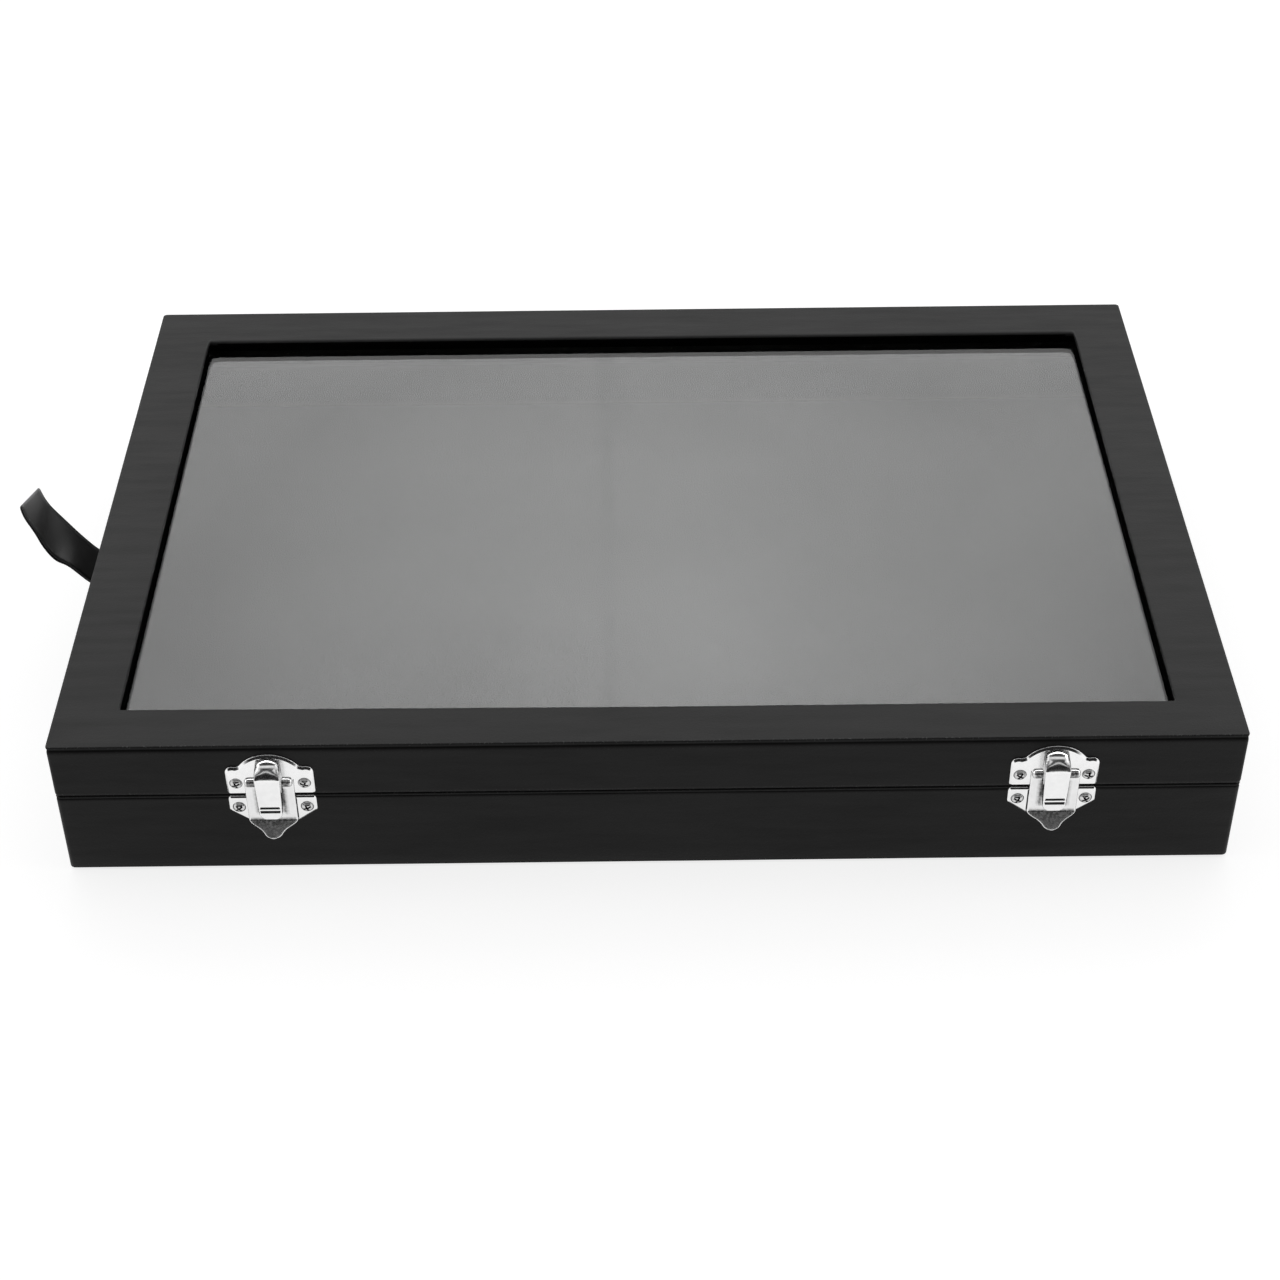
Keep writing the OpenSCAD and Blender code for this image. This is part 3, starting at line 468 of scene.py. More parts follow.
def layer(bm, name):
    """The mesh's own list of numbers with this name, one for each point."""
    return bm.verts.layers.float.get(name) or bm.verts.layers.float.new(name)


def bridge(bm, a, b):
    """Faces between two closed loops with equal counts."""
    n = len(a)
    for k in range(n):
        bm.faces.new((a[k], a[(k + 1) % n], b[(k + 1) % n], b[k]))


def loft(rings, marks=None, close=True):
    """A skin through rings with equal counts. marks gives, for each ring, its values of named numbers."""
    bm = bmesh.new()
    layers = {key: layer(bm, key) for values in marks or [] for key in values}
    rows = []
    for i, points in enumerate(rings):
        row = [bm.verts.new(p) for p in points]
        for key, value in (marks[i] if marks else {}).items():
            for k, v in enumerate(row):
                v[layers[key]] = value[k] if isinstance(value, list) else value
        rows.append(row)
    for a, b in zip(rows, rows[1:] + rows[:1] if close else rows[1:]):
        bridge(bm, a, b)
    return bm


# %% [markdown]
# ## The two coverings
# On the real case a sheet of leatherette is glued round the boards, pulled over the rims and turned in. A box
# with a bevel would give a dead-straight edge. Here the skin is lofted through rounded rectangles instead, so
# that each edge has its own softness, and the long edges wander by a few hundredths of a millimetre as a
# glued sheet does. A lap seam runs just below the top edge: the photograph shows it as a thin dark line,
# which is painted shade in the seam's shallow groove.

# %% Sizes read from the CAD boxes, and sizes of the sheet
low, high = box_mm("base_wrap")
HALF_W, HALF_D, RIM_Z = high
FOOT_Z = low.z
LID_Z, TOP_Z = (v.z for v in box_mm("lid_wrap"))
IN_X, IN_Y = box_mm("base_wall_lining")[1].xy
BOARD_TOP = box_mm("base_front_board")[1].z
GLASS_Z = box_mm("glass_pane")[1].z
SKIN, TURN_IN = 0.7, 14.0
BASE_R, LID_R, FOLD_R, INNER_R = 1.6, 1.2, 0.9, 0.5
EDGE, EDGE_IN, EDGE_DOWN = 0.5, 0.4, 0.35
RIM_IN, RIM_DOWN = 0.35, 0.3
WINDOW_X, WINDOW_Y = (-155.9, 155.9), (-103.9, 100.0)
ROLL = 1.9
INSIDE = HALF_W - IN_X
# Each row of the seam: how far below the edge, how far in, and how dark it is painted, as painted shade.
SEAM = [
    (2.6, 0.0, 0.0), (2.1, 0.02, 0.15), (1.7, 0.06, 0.4), (1.4, 0.13, 0.75),
    (1.2, 0.2, 1.0), (0.85, 0.2, 1.0), (0.65, 0.1, 0.7), (0.4, 0.03, 0.3),
]
# Each row of the lid's lower lip: how far up from its rim, and how far in.
LIP = [(-0.12, 0.5), (-0.09, 0.36), (-0.02, 0.25), (0.08, 0.19), (0.78, 0.01)]
print("case", HALF_W, HALF_D, "rim", RIM_Z, "lid", LID_Z, TOP_Z, "glass", GLASS_Z)


# %% Rings of a covering
def around(inset, z, r):
    return ring((-HALF_W + inset, HALF_W - inset), (-HALF_D + inset, HALF_D - inset), z, r)


def wander(points, amount, seed):
    """Moves points a little outwards or inwards, as a glued sheet lies."""
    out = []
    for p in points:
        n = noise.noise(Vector((p.x * 0.045 + seed, p.y * 0.045, p.z * 0.05)))
        m = noise.noise(Vector((p.x * 0.012, p.y * 0.012 + seed, 7.0)))
        across = abs(p.x) / HALF_W > abs(p.y) / HALF_D
        side = Vector((math.copysign(across, p.x), math.copysign(not across, p.y), 0))
        out.append(p - side * amount * (0.5 + 0.5 * n + 0.4 * m))
    return out


def lay(points, rub_and_highlight=0.0, deep=0.0):
    rings.append(points)
    marks.append({"rub_and_highlight": rub_and_highlight, "deep": deep})


# %% Covering of the base, from the turned-in foot up to the rim and down inside
BASE_SEED = 3
rings, marks = [], []
lay(around(TURN_IN, FOOT_Z, 1.0))
lay(around(2.0, FOOT_Z, 1.2))
for c, s in bend(270, 180, 4):
    lay(wander(around(EDGE + EDGE * c, FOOT_Z + EDGE + EDGE * s, BASE_R), 0.06, BASE_SEED), 0.7)
for z in (6, 14, 22, RIM_Z - 2.0):
    lay(wander(around(0, z, BASE_R), 0.07, BASE_SEED))
# The seam's groove under the rim is painted dark: painted shade.
for down, inset, dark in SEAM:
    edge = around(inset, RIM_Z - RIM_DOWN - 0.55 * down, BASE_R)
    lay(wander(edge, 0.06, BASE_SEED), 0.5, 0.8 * dark)
for c, s in bend(180, 90, 5):
    edge = around(RIM_IN + RIM_IN * c, RIM_Z - RIM_DOWN + RIM_DOWN * s, BASE_R)
    lay(wander(edge, 0.06, BASE_SEED), 1.0)
for inset, z, r in (
    (2.2, RIM_Z, FOLD_R), (4.6, RIM_Z, FOLD_R), (INSIDE - 0.4, RIM_Z - 0.02, INNER_R),
    (INSIDE, RIM_Z - 0.3, INNER_R), (INSIDE, BOARD_TOP, INNER_R), (SKIN, BOARD_TOP, FOLD_R),
    (SKIN, FOOT_Z + SKIN, FOLD_R), (TURN_IN, FOOT_Z + SKIN, 1.0),
):
    lay(around(inset, z, r))
settle("base_cover", loft(rings, marks), leatherette, "base", "base_wrap", corner=40)

# %% Covering of the lid, from its rim up to the top edge
LID_SEED = 9
rings, marks = [], []
for inset, z, r in (
    (INSIDE, LID_Z + SKIN, INNER_R), (INSIDE, LID_Z + 0.3, INNER_R), (INSIDE - 0.4, LID_Z + 0.02, INNER_R),
    (4.6, LID_Z, FOLD_R), (2.6, LID_Z, FOLD_R), (0.9, LID_Z, FOLD_R),
):
    lay(around(inset, z, r))
# Strong light flecks along the lip are a painted highlight on the lid's lower edge.
for up, inset in LIP:
    lay(wander(around(inset, LID_Z + up, LID_R), 0.06, LID_SEED), 2.5)
for z in (LID_Z + 1.1, LID_Z + 3, 36, 42, TOP_Z - 3.3):
    lay(wander(around(0, z, LID_R), 0.06, LID_SEED))
# The seam's groove under the top edge is painted dark: painted shade.
for down, inset, dark in SEAM:
    lay(wander(around(inset, TOP_Z - EDGE_DOWN - down, LID_R), 0.04, LID_SEED), 0.5, dark)
# The top edge gets strong light flecks as a painted highlight, and a touch of painted shade where its round
# starts.
for c, s in bend(180, 90, 6):
    edge = around(EDGE_IN + EDGE_IN * c, TOP_Z - EDGE_DOWN + EDGE_DOWN * s, LID_R)
    lay(wander(edge, 0.04, LID_SEED), 2.5, max(0.0, 0.15 - s))
print("lid, up to its top edge:", len(rings), "rings")

# %% [markdown]
# At the window the sheet rolls over the frame's edge and down to the glass. The roll is wide at the rear and
# tight at the sides. Painted shade darkens it as it goes down, and in the rear corners the sheet stands up in
# a small fold where the painted shade is lifted.


# %% The lid's top, and the roll into the window
SIDE_SHARE, FRONT_SHARE = 0.12, 0.3  # of the roll's width at the rear
SKEW, FOLD_REACH = 0.007, 3.0


def window(out, z, r):
    """A ring round the window. Its front edge was cut askew: the left end lies a millimetre further back."""
    (x0, x1), (y0, y1) = WINDOW_X, WINDOW_Y
    points = ring((x0 - SIDE_SHARE * out, x1 + SIDE_SHARE * out), (y0 - FRONT_SHARE * out, y1 + out), z, r)
    for p in points:
        p.y += SKEW * max(0.0, -p.x) * clamp((-p.y - 70) / 30)
    return points


def in_corner(p):
    """1 in the rear corners of the window, 0 from three millimetres away."""
    return clamp(1 - math.hypot(abs(p.x) - WINDOW_X[1], p.y - WINDOW_Y[1]) / FOLD_REACH)


outer, inner = around(EDGE_IN, TOP_Z, FOLD_R), window(ROLL, TOP_Z, FOLD_R)
for share in (0.015, 0.06, 0.3, 0.6, 0.9, 0.985):
    lay([p.lerp(q, share) for p, q in zip(outer, inner)])
for c, s in bend(90, 0, 9):
    edge = window(ROLL - ROLL * c, TOP_Z - ROLL + ROLL * s, 0.9 - 0.4 * c)
    on_side = [abs(p.x) > WINDOW_X[1] - 0.1 for p in edge]
    # Painted shade, darker further down the roll; the fold lifts it.
    dark = [clamp(1.1 - 1.05 * s if side else 1.15 - 1.2 * s * s) for side in on_side]
    fold = [in_corner(p) * 4 * c * (1 - c) for p in edge]
    for f, p in zip(fold, edge):
        p += Vector((-math.copysign(0.45 * f, p.x), -0.45 * f, 0.4 * f))
    lay(edge, 0.0, [d * (1 - f) for d, f in zip(dark, fold)])
# From the roll's foot down to the glass the wall is all painted shade.
for out, z in ((0, GLASS_Z + 0.8), (0, GLASS_Z + 0.02), (SKIN, GLASS_Z + 0.02), (SKIN, TOP_Z - SKIN)):
    lay(window(out, z, INNER_R), 0, 1)
for z in (TOP_Z - SKIN, LID_Z + SKIN):
    lay(around(SKIN, z, FOLD_R))
lid_cover = settle("lid_cover", loft(rings, marks), leatherette, "lid", "lid_wrap", corner=40)

# %% Painted shade inside the window
SHADE_FROM = 0.55
lid_cover.data.materials.append(window_shade_black)
shade = lid_cover.data.attributes["deep"].data
# Faces deep in painted shade get the black finish, which stands in for the shade there.
for face in lid_cover.data.polygons:
    x, y = face.center.x / MM, face.center.y / MM
    in_window = abs(x) < WINDOW_X[1] + 1.1 and WINDOW_Y[0] - 1.3 < y < WINDOW_Y[1] + 2.5
    if in_window and min(shade[v].value for v in face.vertices) > SHADE_FROM:
        face.material_index = 1
print("matt faces", sum(face.material_index for face in lid_cover.data.polygons))

# %% [markdown]
# ## Glass
# A pane of 2 mm float glass with ground edges. It casts no shadow, so lamps reach the velvet under it.


# %% Pane with ground edges
def slab(low, high, r, cut):
    """A flat piece with round corners and a small cut along its edges."""
    def level(inset, z):
        x, y = (low.x + inset, high.x - inset), (low.y + inset, high.y - inset)
        return ring(x, y, z, max(r - inset, 0.05), 4, (1, 1))

    heights = ((cut, low.z), (0, low.z + cut), (0, high.z - cut), (cut, high.z))
    bm = loft([level(inset, z) for inset, z in heights], close=False)
    bmesh.ops.holes_fill(bm, edges=[e for e in bm.edges if e.is_boundary], sides=0)
    return bm


pane = slab(*box_mm("glass_pane"), 1.0, 0.25)
pane = settle("window_pane", pane, glass, "lid", "glass_pane", corner=20)
pane.visible_shadow = False

# %% [markdown]
# ## Cloth inside
# The linings are velvet on thin card, and the four strips that hold the pane are wrapped in the same velvet.
# The pad is firm foam under velvet: nearly flat, soft along its edges, with sides drawn in between its
# corners.


# %% Wall linings
def lining(name, node, body):
    z0, z1 = (v.z for v in box_mm(node))
    room = 0.8
    rows = [(0, z0), (0, z1 - 0.1), (0.15, z1), (room - 0.25, z1)]
    rows += [(room, z1 - 0.3), (room, z0 + 0.3), (room - 0.2, z0)]
    rings = [ring((-IN_X + i, IN_X - i), (-IN_Y + i, IN_Y - i), z, 0.6 if i < 0.4 else 1.4) for i, z in rows]
    settle(name, loft(rings), velvet, body, node)


lining("base_lining", "base_wall_lining", "base")
lining("lid_lining", "lid_wall_lining", "lid")


# %% Velvet strips under the pane
def strip_bar(node):
    low, high = box_mm(node)
    bm = bmesh.new()
    bmesh.ops.create_cube(bm, size=1.0)
    bmesh.ops.scale(bm, vec=high - low, verts=bm.verts)
    bmesh.ops.translate(bm, vec=(low + high) / 2, verts=bm.verts)
    bmesh.ops.bevel(bm, geom=bm.edges[:], offset=0.9, segments=4, profile=0.5, affect="EDGES")
    long_x = high.x - low.x > high.y - low.y
    for v in bm.verts:
        p = v.co.x if long_x else v.co.y
        v.co.z += 0.1 * noise.noise(Vector((p * 0.06, 3.1, 0))) * (v.co.z < (low.z + high.z) / 2)
    settle(node.replace("glass_stop", "pane_strip"), bm, velvet, "lid", node)


for side in ("front", "rear", "left", "right"):
    strip_bar("glass_stop_" + side)

# %% Foam pad under velvet
PAD_EDGE, PAD_STEP = 3.2, 8.0
low, high = box_mm("display_pad")


def pad_lines(half):
    """Grid lines that crowd towards the two ends."""
    ends = [0, 0.12, 0.35, 0.7, 1.2, 1.9, 2.8, 4.0, 6.0]
    middle = [i * PAD_STEP for i in range(int((half - ends[-1]) / PAD_STEP) + 1)]
    one = sorted({round(half - e, 4) for e in ends} | set(middle))
    return [-v for v in reversed(one) if v > 0] + one


xs, ys = pad_lines(high.x), pad_lines(high.y)
bm = bmesh.new()
top, bottom = {}, {}
for i, x in enumerate(xs):
    for j, y in enumerate(ys):
        u, v = x / high.x, y / high.y
        px = x - math.copysign(0.9 * (1 - v * v), x) * abs(u) ** 8
        py = y - math.copysign(0.9 * (1 - u * u), y) * abs(v) ** 8
        near = min(high.x - abs(x), high.y - abs(y))
        crown = 0.55 * (1 - u ** 4) * (1 - v ** 4)
        wave = 0.18 * noise.noise(Vector((x * 0.02, y * 0.02, 5.0)))
        z = high.z - 0.75 + crown + wave * min(1.0, near / 20) - edge_fall(near, PAD_EDGE)
        top[i, j] = bm.verts.new((px, py, max(z, low.z + 0.8)))
        bottom[i, j] = bm.verts.new((px, py, low.z))
for i in range(len(xs) - 1):
    for j in range(len(ys) - 1):
        for side in (top, bottom):
            bm.faces.new((side[i, j], side[i + 1, j], side[i + 1, j + 1], side[i, j + 1]))
rim = [(i, 0) for i in range(len(xs))] + [(len(xs) - 1, j) for j in range(1, len(ys))]
rim += [(i, len(ys) - 1) for i in range(len(xs) - 2, -1, -1)] + [(0, j) for j in range(len(ys) - 2, 0, -1)]
bridge(bm, [bottom[k] for k in rim], [top[k] for k in rim])
pad = settle("velvet_pad", bm, velvet, "base", "display_pad", corner=60)

# %% Sheet on the underside
sheet = slab(*box_mm("base_underside_sheet"), 4.0, 0.2)
settle("underside_sheet", sheet, flock, "base", "base_underside_sheet")

# %% Boards and card keep their CAD solids
for node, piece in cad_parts.items():
    for end, finish in (("_board", fibreboard), ("top_frame", stained), ("backing_card", card)):
        if node.endswith(end):
            piece.data.materials.clear()
            piece.data.materials.append(finish)
            print(node, "keeps its CAD solid")

# %% [markdown]
# ## Latches
# Each latch is four pressed pieces. The strike plate is screwed to the lid, the latch plate to the base. A
# bridge on the latch plate stands over the parting line and ends in two knuckles, and the lever rocks between
# them. All are drawn in one flat frame: X across, Y up from the parting line, Z out of the case.

# %% Frame of the hardware, and flat plates with a rounded rim
PART_Z = (RIM_Z + LID_Z) / 2
LEVERS = {"left": -110.8, "right": 119.2}
# The rim of a plate from its outside: how far in, and how far up, as shares.
PLATE_RIM = [
    (0, 0), (0.015, 0.14), (0.05, 0.25), (0.11, 0.33), (0.16, 0.37),
    (0.8, 0.96), (0.82, 0.975), (0.84, 0.985), (0.9, 0.997), (1, 1),
]


def front_frame(x):
    return Matrix(((1, 0, 0, x), (0, 0, -1, -HALF_D), (0, 1, 0, PART_Z), (0, 0, 0, 1)))


def inset(outline, d, top):
    """The outline, moved inwards by d, or by top where it faces up. It runs anticlockwise."""
    out = []
    n = len(outline)
    for i in range(n):
        a, b, c = outline[i - 1], outline[i], outline[(i + 1) % n]
        e0, e1 = (b - a).normalized(), (c - b).normalized()
        n0, n1 = Vector((-e0.y, e0.x)), Vector((-e1.y, e1.x))
        m = n0 + n1
        m /= max(0.35, m.length_squared / 2)
        out.append(b + Vector((m.x * d, m.y * (top if m.y < 0 else d))))
    return out


def plate(bm, outline, thick, deep, side, top, flat=1.0):
    """A flat pressed plate whose front edge slopes and then rounds off, wider at the top, added to a mesh."""
    mark = layer(bm, "brushed")
    loops = []
    for d, z in [(0, 0.0)] + [(d, thick - deep + deep * z) for d, z in PLATE_RIM]:
        loops.append([bm.verts.new((p.x, p.y, z)) for p in inset(outline, d * side, d * top)])
    for v in loops[-1]:
        v[mark] = flat
    for a, b in zip(loops, loops[1:]):
        bridge(bm, a, b)
    bm.faces.new(loops[-1])
    bm.faces.new(list(reversed(loops[0])))


def arc(cx, cy, r, start, end, steps):
    return [Vector((cx + r * c, cy + r * s)) for c, s in bend(start, end, steps)]


def mirrored(points):
    return [Vector((-p.x, p.y)) for p in reversed(points)]


def side_block(bm, profile, x0, x1):
    """A side view, height by rise, drawn out along X."""
    ends = [[bm.verts.new((x, y, z)) for y, z in profile] for x in (x0, x1)]
    bridge(bm, *ends)
    bm.faces.new(ends[1])
    bm.faces.new(list(reversed(ends[0])))


# %% Strike plates on the lid
PLATE_W, PLATE_T = 25.9, 0.9
PLATE_HALF = PLATE_W / 2
ARCH_H, ARCH_R = 16.0, 11.0
EAR_H, EAR_R = 11.4, 2.2
STRIKE_FOOT, FOOT_R = 0.95, 0.9
CATCH = [(13.97, 0.4), (13.97, 2.05), (13.82, 2.2), (12.97, 2.2), (12.7, 2.12), (10.97, 0.85), (10.97, 0.4)]
CATCH_HALF = 2.2
right = arc(PLATE_HALF - FOOT_R, STRIKE_FOOT + FOOT_R, FOOT_R, -90, 0, 4)
right += arc(PLATE_HALF - EAR_R, EAR_H - EAR_R, EAR_R, 0, 112, 10)
right += arc(0, ARCH_H - ARCH_R, ARCH_R, 36.5, 88, 22)
for hand, x in LEVERS.items():
    bm = bmesh.new()
    plate(bm, right + mirrored(right), PLATE_T, 0.65, 0.7, 1.1, flat=0.6)
    side_block(bm, CATCH, -CATCH_HALF, CATCH_HALF)
    settle(f"{hand}_strike", bm, nickel, "lid", f"{hand}_strike_plate", to_world=front_frame(x))

# %% [markdown]
# The latch plate starts as a flat blank with two wings. Its middle is pressed out into a bridge, and below
# the bridge the sheet bends forwards into a tongue. A grid of points follows that sheet: rows run down its
# face, columns crowd at its edges, and every edge falls away in a small round.

# %% Path and width of the bridge's sheet
BRIDGE_HALF, BRIDGE_RISE, BRIDGE_FOOT = 7.25, 3.0, -6.5
NOTCH_HALF, NOTCH_FOOT = 3.9, 4.5
PIN_Y, PIN_RISE = 7.95, 3.2
TONGUE, FLARE, BEND = 6.4, math.radians(43), 1.6
# The tongue's side: how far below the bridge's foot, and half the width there.
TONGUE_SIDE = [
    (0.6, 7.25), (1.0, 7.1), (1.5, 6.72), (2.0, 6.1), (2.5, 5.35), (3.2, 4.25), (3.9, 3.4),
    (4.6, 2.85), (5.2, 2.45), (5.6, 2.08), (5.95, 1.55), (6.2, 0.95), (6.35, 0.45), (6.4, 0.0),
]
EDGES = [0, 0.03, 0.09, 0.18, 0.3, 0.45, 0.7, 1.0]
MIDDLE = [0.0, 0.2, 0.42, NOTCH_HALF / (BRIDGE_HALF - EDGES[-1]), 0.72, 0.84]
COLUMNS = len(MIDDLE) + len(EDGES) - 1
SHEET_ROWS = [7.95, 6.8, 5.6, NOTCH_FOOT, 3.0, 1.5, 0.1, -2, -4, -5.4, -6.1, BRIDGE_FOOT]
SHEET_ROWS = [BRIDGE_FOOT - y for y in SHEET_ROWS] + [
    0.1, 0.22, 0.4, 0.6, 0.8, 1.0, 1.25, 1.5, 1.75, 2.0, 2.25, 2.5, 2.85, 3.2, 3.55, 3.9,
    4.25, 4.6, 4.9, 5.2, 5.4, 5.6, 5.8, 5.95, 6.1, 6.2, 6.3, 6.35, 6.39,
]
print("bridge grid", len(SHEET_ROWS), "x", 2 * COLUMNS + 1)


def sheet_path(s):
    """Height, rise and turn of the sheet's face, s millimetres below the bridge's foot."""
    turn = min(FLARE, max(0.0, s / BEND))
    far = max(0.0, s - BEND * FLARE)
    y = BRIDGE_FOOT - min(s, 0.0) - BEND * math.sin(turn) - far * math.cos(FLARE)
    return y, BRIDGE_RISE + BEND * (1 - math.cos(turn)) + far * math.sin(FLARE), turn


def sheet_half(s):
    """Half the sheet's width: constant on the bridge, then through points read off the tongue's side."""
    for (s0, w0), (s1, w1) in zip(TONGUE_SIDE, TONGUE_SIDE[1:]):
        if s0 <= s <= s1:
            return w0 + (w1 - w0) * (s - s0) / (s1 - s0)
    return BRIDGE_HALF if s < 1 else 0.0


def sheet_x(s, k):
    """Distance across of column k: columns run from the middle out to the edge."""
    half = sheet_half(s)
    squeeze = min(1.0, half / 2.0)
    n = abs(k)
    if n < len(MIDDLE):
        x = MIDDLE[n] * (half - EDGES[-1] * squeeze)
    else:
        x = half - EDGES[-1 - (n - len(MIDDLE))] * squeeze
    return math.copysign(x, k) if k else 0.0


def sheet_point(s, k, back=0.0):
    y, z, turn = sheet_path(s)
    x = sheet_x(s, k)
    near = max(0.0, min(sheet_half(s) - abs(x), (TONGUE - s) * 0.8))
    drop = edge_fall(near, 0.42 if s < 0 else 0.34)
    if back:
        drop = max(back, drop + 0.05)
    return x, y - drop * math.sin(turn), z - drop * math.cos(turn)


# %% A closed solid from a grid of points, and a turned piece
def raised(bm, rows, columns, place, under, keep, smooth, shade_and_patina, cut_edge_and_shade=0.85):
    """place gives a point of the face, under the one behind it; keep leaves cells out. Cut edges are painted
    darker: partly real patina on the cut, partly painted shade.
    """
    mark, flat = layer(bm, "shade_and_patina"), layer(bm, "brushed")
    top, back = {}, {}

    def point(i, j):
        if (i, j) not in top:
            top[i, j] = bm.verts.new(place(rows[i], columns[j]))
            back[i, j] = bm.verts.new(under(rows[i], columns[j]))
            top[i, j][flat] = float(abs(columns[j]) < 0.9 * columns[-1] and smooth(rows[i]))
            top[i, j][mark] = shade_and_patina(rows[i], columns[j])
        return i, j

    border = {}
    for i in range(len(rows) - 1):
        for j in range(len(columns) - 1):
            if not keep((rows[i] + rows[i + 1]) / 2, (columns[j] + columns[j + 1]) / 2):
                continue
            loop = [point(i, j), point(i, j + 1), point(i + 1, j + 1), point(i + 1, j)]
            bm.faces.new([top[k] for k in loop])
            bm.faces.new([back[k] for k in reversed(loop)])
            for a, b in zip(loop, loop[1:] + loop[:1]):
                if (b, a) in border:
                    del border[b, a]
                else:
                    border[a, b] = True
    lip = {}
    for k in {k for pair in border for k in pair}:
        fall = back[k].co - top[k].co
        lip[k] = bm.verts.new(top[k].co + fall * min(0.5, 0.12 / max(fall.length, 0.01)))
        lip[k][mark] = back[k][mark] = cut_edge_and_shade
    for a, b in border:
        bm.faces.new((top[b], top[a], lip[a], lip[b]))
        bm.faces.new((lip[b], lip[a], back[a], back[b]))


def lathe_x(bm, profile, y, z, shade_and_patina, turns=32):
    """A round piece along X, through points of (x, radius). Its painted shade depends on x and the turn from
    the top.
    """
    mark = layer(bm, "shade_and_patina")
    loops, round_x = [], bend(0, 360, turns)[:-1]
    for x, r in profile:
        loops.append([bm.verts.new((x, y + r * c, z + r * s)) for c, s in round_x])
        for k, v in enumerate(loops[-1]):
            v[mark] = shade_and_patina(x, 360 * k / turns)
    for a, b in zip(loops, loops[1:]):
        bridge(bm, a, b)
    bm.faces.new(loops[0])
    bm.faces.new(loops[-1])


# %% [markdown]
# Latch plates, pins and springs are hidden from mirrors: in the photograph the bright strike plates show no
# image of them.

# %% Latch plates on the base
WALL = [(0.1, 0.0), (0.1, 2.5), (-6.3, 2.5), (-9.4, 0.8), (-9.4, 0.0)]
WALL_X = (6.4, 7.22)
KNUCKLE = [
    (3.92, 0.2), (3.92, 1.35), (4.05, 1.5), (5.4, 1.5), (5.9, 1.48),
    (6.4, 1.4), (6.8, 1.15), (7.02, 0.8), (7.08, 0.3),
]
right = [Vector((6.0, -10.5))] + arc(PLATE_HALF - 1.1, -4.75, 1.1, -51, 0, 5)
right += [Vector((PLATE_HALF - 0.85 + 0.85 * c, -1.35 + 1.45 * s)) for c, s in bend(0, 90, 5)]
right += [Vector((6.0, 0.1))]
WINGS = {1: right, -1: mirrored(right)}


def sheet_shade(s, k):
    """Painted shade and painted dark reflection in the dished tongue, darkest under the bridge, and painted
    shade in the two lines beside the lever.
    """
    near = sheet_half(s) - abs(sheet_x(s, k))
    shade = 0.9 - 0.4 * max(0.0, s - 1) / (TONGUE - 1)
    shade *= clamp((near - 0.3) / 0.35) * clamp(s + 0.5)
    beside = {3: 0.95, 4: 0.4}.get(abs(k), 0.0) if -11.5 < s < -2 else 0.0
    return max(shade, beside, 0.08 if s < 0 and near > 0.3 else 0.0)


def knuckle_shade(x, turn):
    """Painted shade on the knuckle's lower front, where it sits on the bridge."""
    front = clamp((turn - 20) / 25) * clamp((220 - turn) / 30)
    return 0.95 * front * clamp((6.7 - abs(x)) / 0.7)


def outside_notch(s, k):
    return not (s < BRIDGE_FOOT - NOTCH_FOOT and abs(k) < 3)


for hand, x in LEVERS.items():
    bm = bmesh.new()
    # The sheet's colour carries painted shade: in the tongue, beside the lever and on its cut edges.
    raised(bm, SHEET_ROWS, list(range(-COLUMNS, COLUMNS + 1)), sheet_point,
           lambda s, k: sheet_point(s, k, 0.85), outside_notch, lambda s: s < 0, sheet_shade)
    for side in (-1, 1):
        plate(bm, WINGS[side], PLATE_T, 0.45, 0.6, 0.7)
        side_block(bm, WALL, *sorted(side * wx for wx in WALL_X))
        lathe_x(bm, [(side * px, r) for px, r in KNUCKLE], PIN_Y, PIN_RISE, knuckle_shade)
    latch = settle(f"{hand}_latch", bm, nickel, "base", f"{hand}_latch_plate",
                   to_world=front_frame(x))
    latch.visible_glossy = False

# %% [markdown]
# ## Levers
# The lever is one pressed channel: a flat thumb face with two grip ridges, cheeks that hang on the pin, and a
# domed head that curls over into a nose. The face and the dome meet in a crisp line, which the photograph
# shows as a dark crescent above a white face.

# %% Sizes and rows of the lever
LEVER_HALF, LEVER_RISE, LEVER_T = 3.55, 6.0, 0.8
TAIL_Y, TAIL_R, HEAD_Y = -4.55, 2.4, 10.55
TAIL_END = TAIL_Y + TAIL_R
NOSE_RISE, HEAD_TOP = 1.4, 15.15
DOME_START = 30.0
RIDGES, RIDGE_RISE = ((0.45, -0.4), (-0.95, -1.7)), 0.42
PRESS = math.radians(9)


def dome(angle):
    """Height and rise on the head's side view, an ellipse that starts with a crease."""
    b0, b = math.radians(DOME_START), math.radians(angle)
    wide = (HEAD_TOP - HEAD_Y) / (1 - math.sin(b0))
    tall = (LEVER_RISE - NOSE_RISE) / math.cos(b0)
    y = HEAD_Y + wide * (math.sin(b) - math.sin(b0))
    return y, LEVER_RISE - tall * (math.cos(b0) - math.cos(b))


rows = {TAIL_END - TAIL_R * math.sin(math.radians(a)) for a in (88, 80, 70, 58, 46, 34, 22, 10, 0)}
for start, crest in RIDGES:
    rows |= {start, (start + crest) / 2, crest + 0.08, crest, crest - 0.06}
rows |= {-0.6, 1.2, 3, 5, 7, 9, 10, 10.4, HEAD_Y}
LEVER_ROWS = [(y, LEVER_RISE, 0.0) for y in sorted(rows)]
for angle in (32, 35, 39, 43, 48, 53, 58, 63, 68, 73, 78, 82, 85.5, 88, 90):
    LEVER_ROWS.append((*dome(angle), (angle - DOME_START) / (90 - DOME_START)))
LEVER_SHARES = [0, 0.2, 0.4, 0.58, 0.7, 0.77, 0.83, 0.88, 0.92, 0.955, 0.98, 0.995, 1.0]
LEVER_SHARES = [-s for s in reversed(LEVER_SHARES[1:])] + LEVER_SHARES
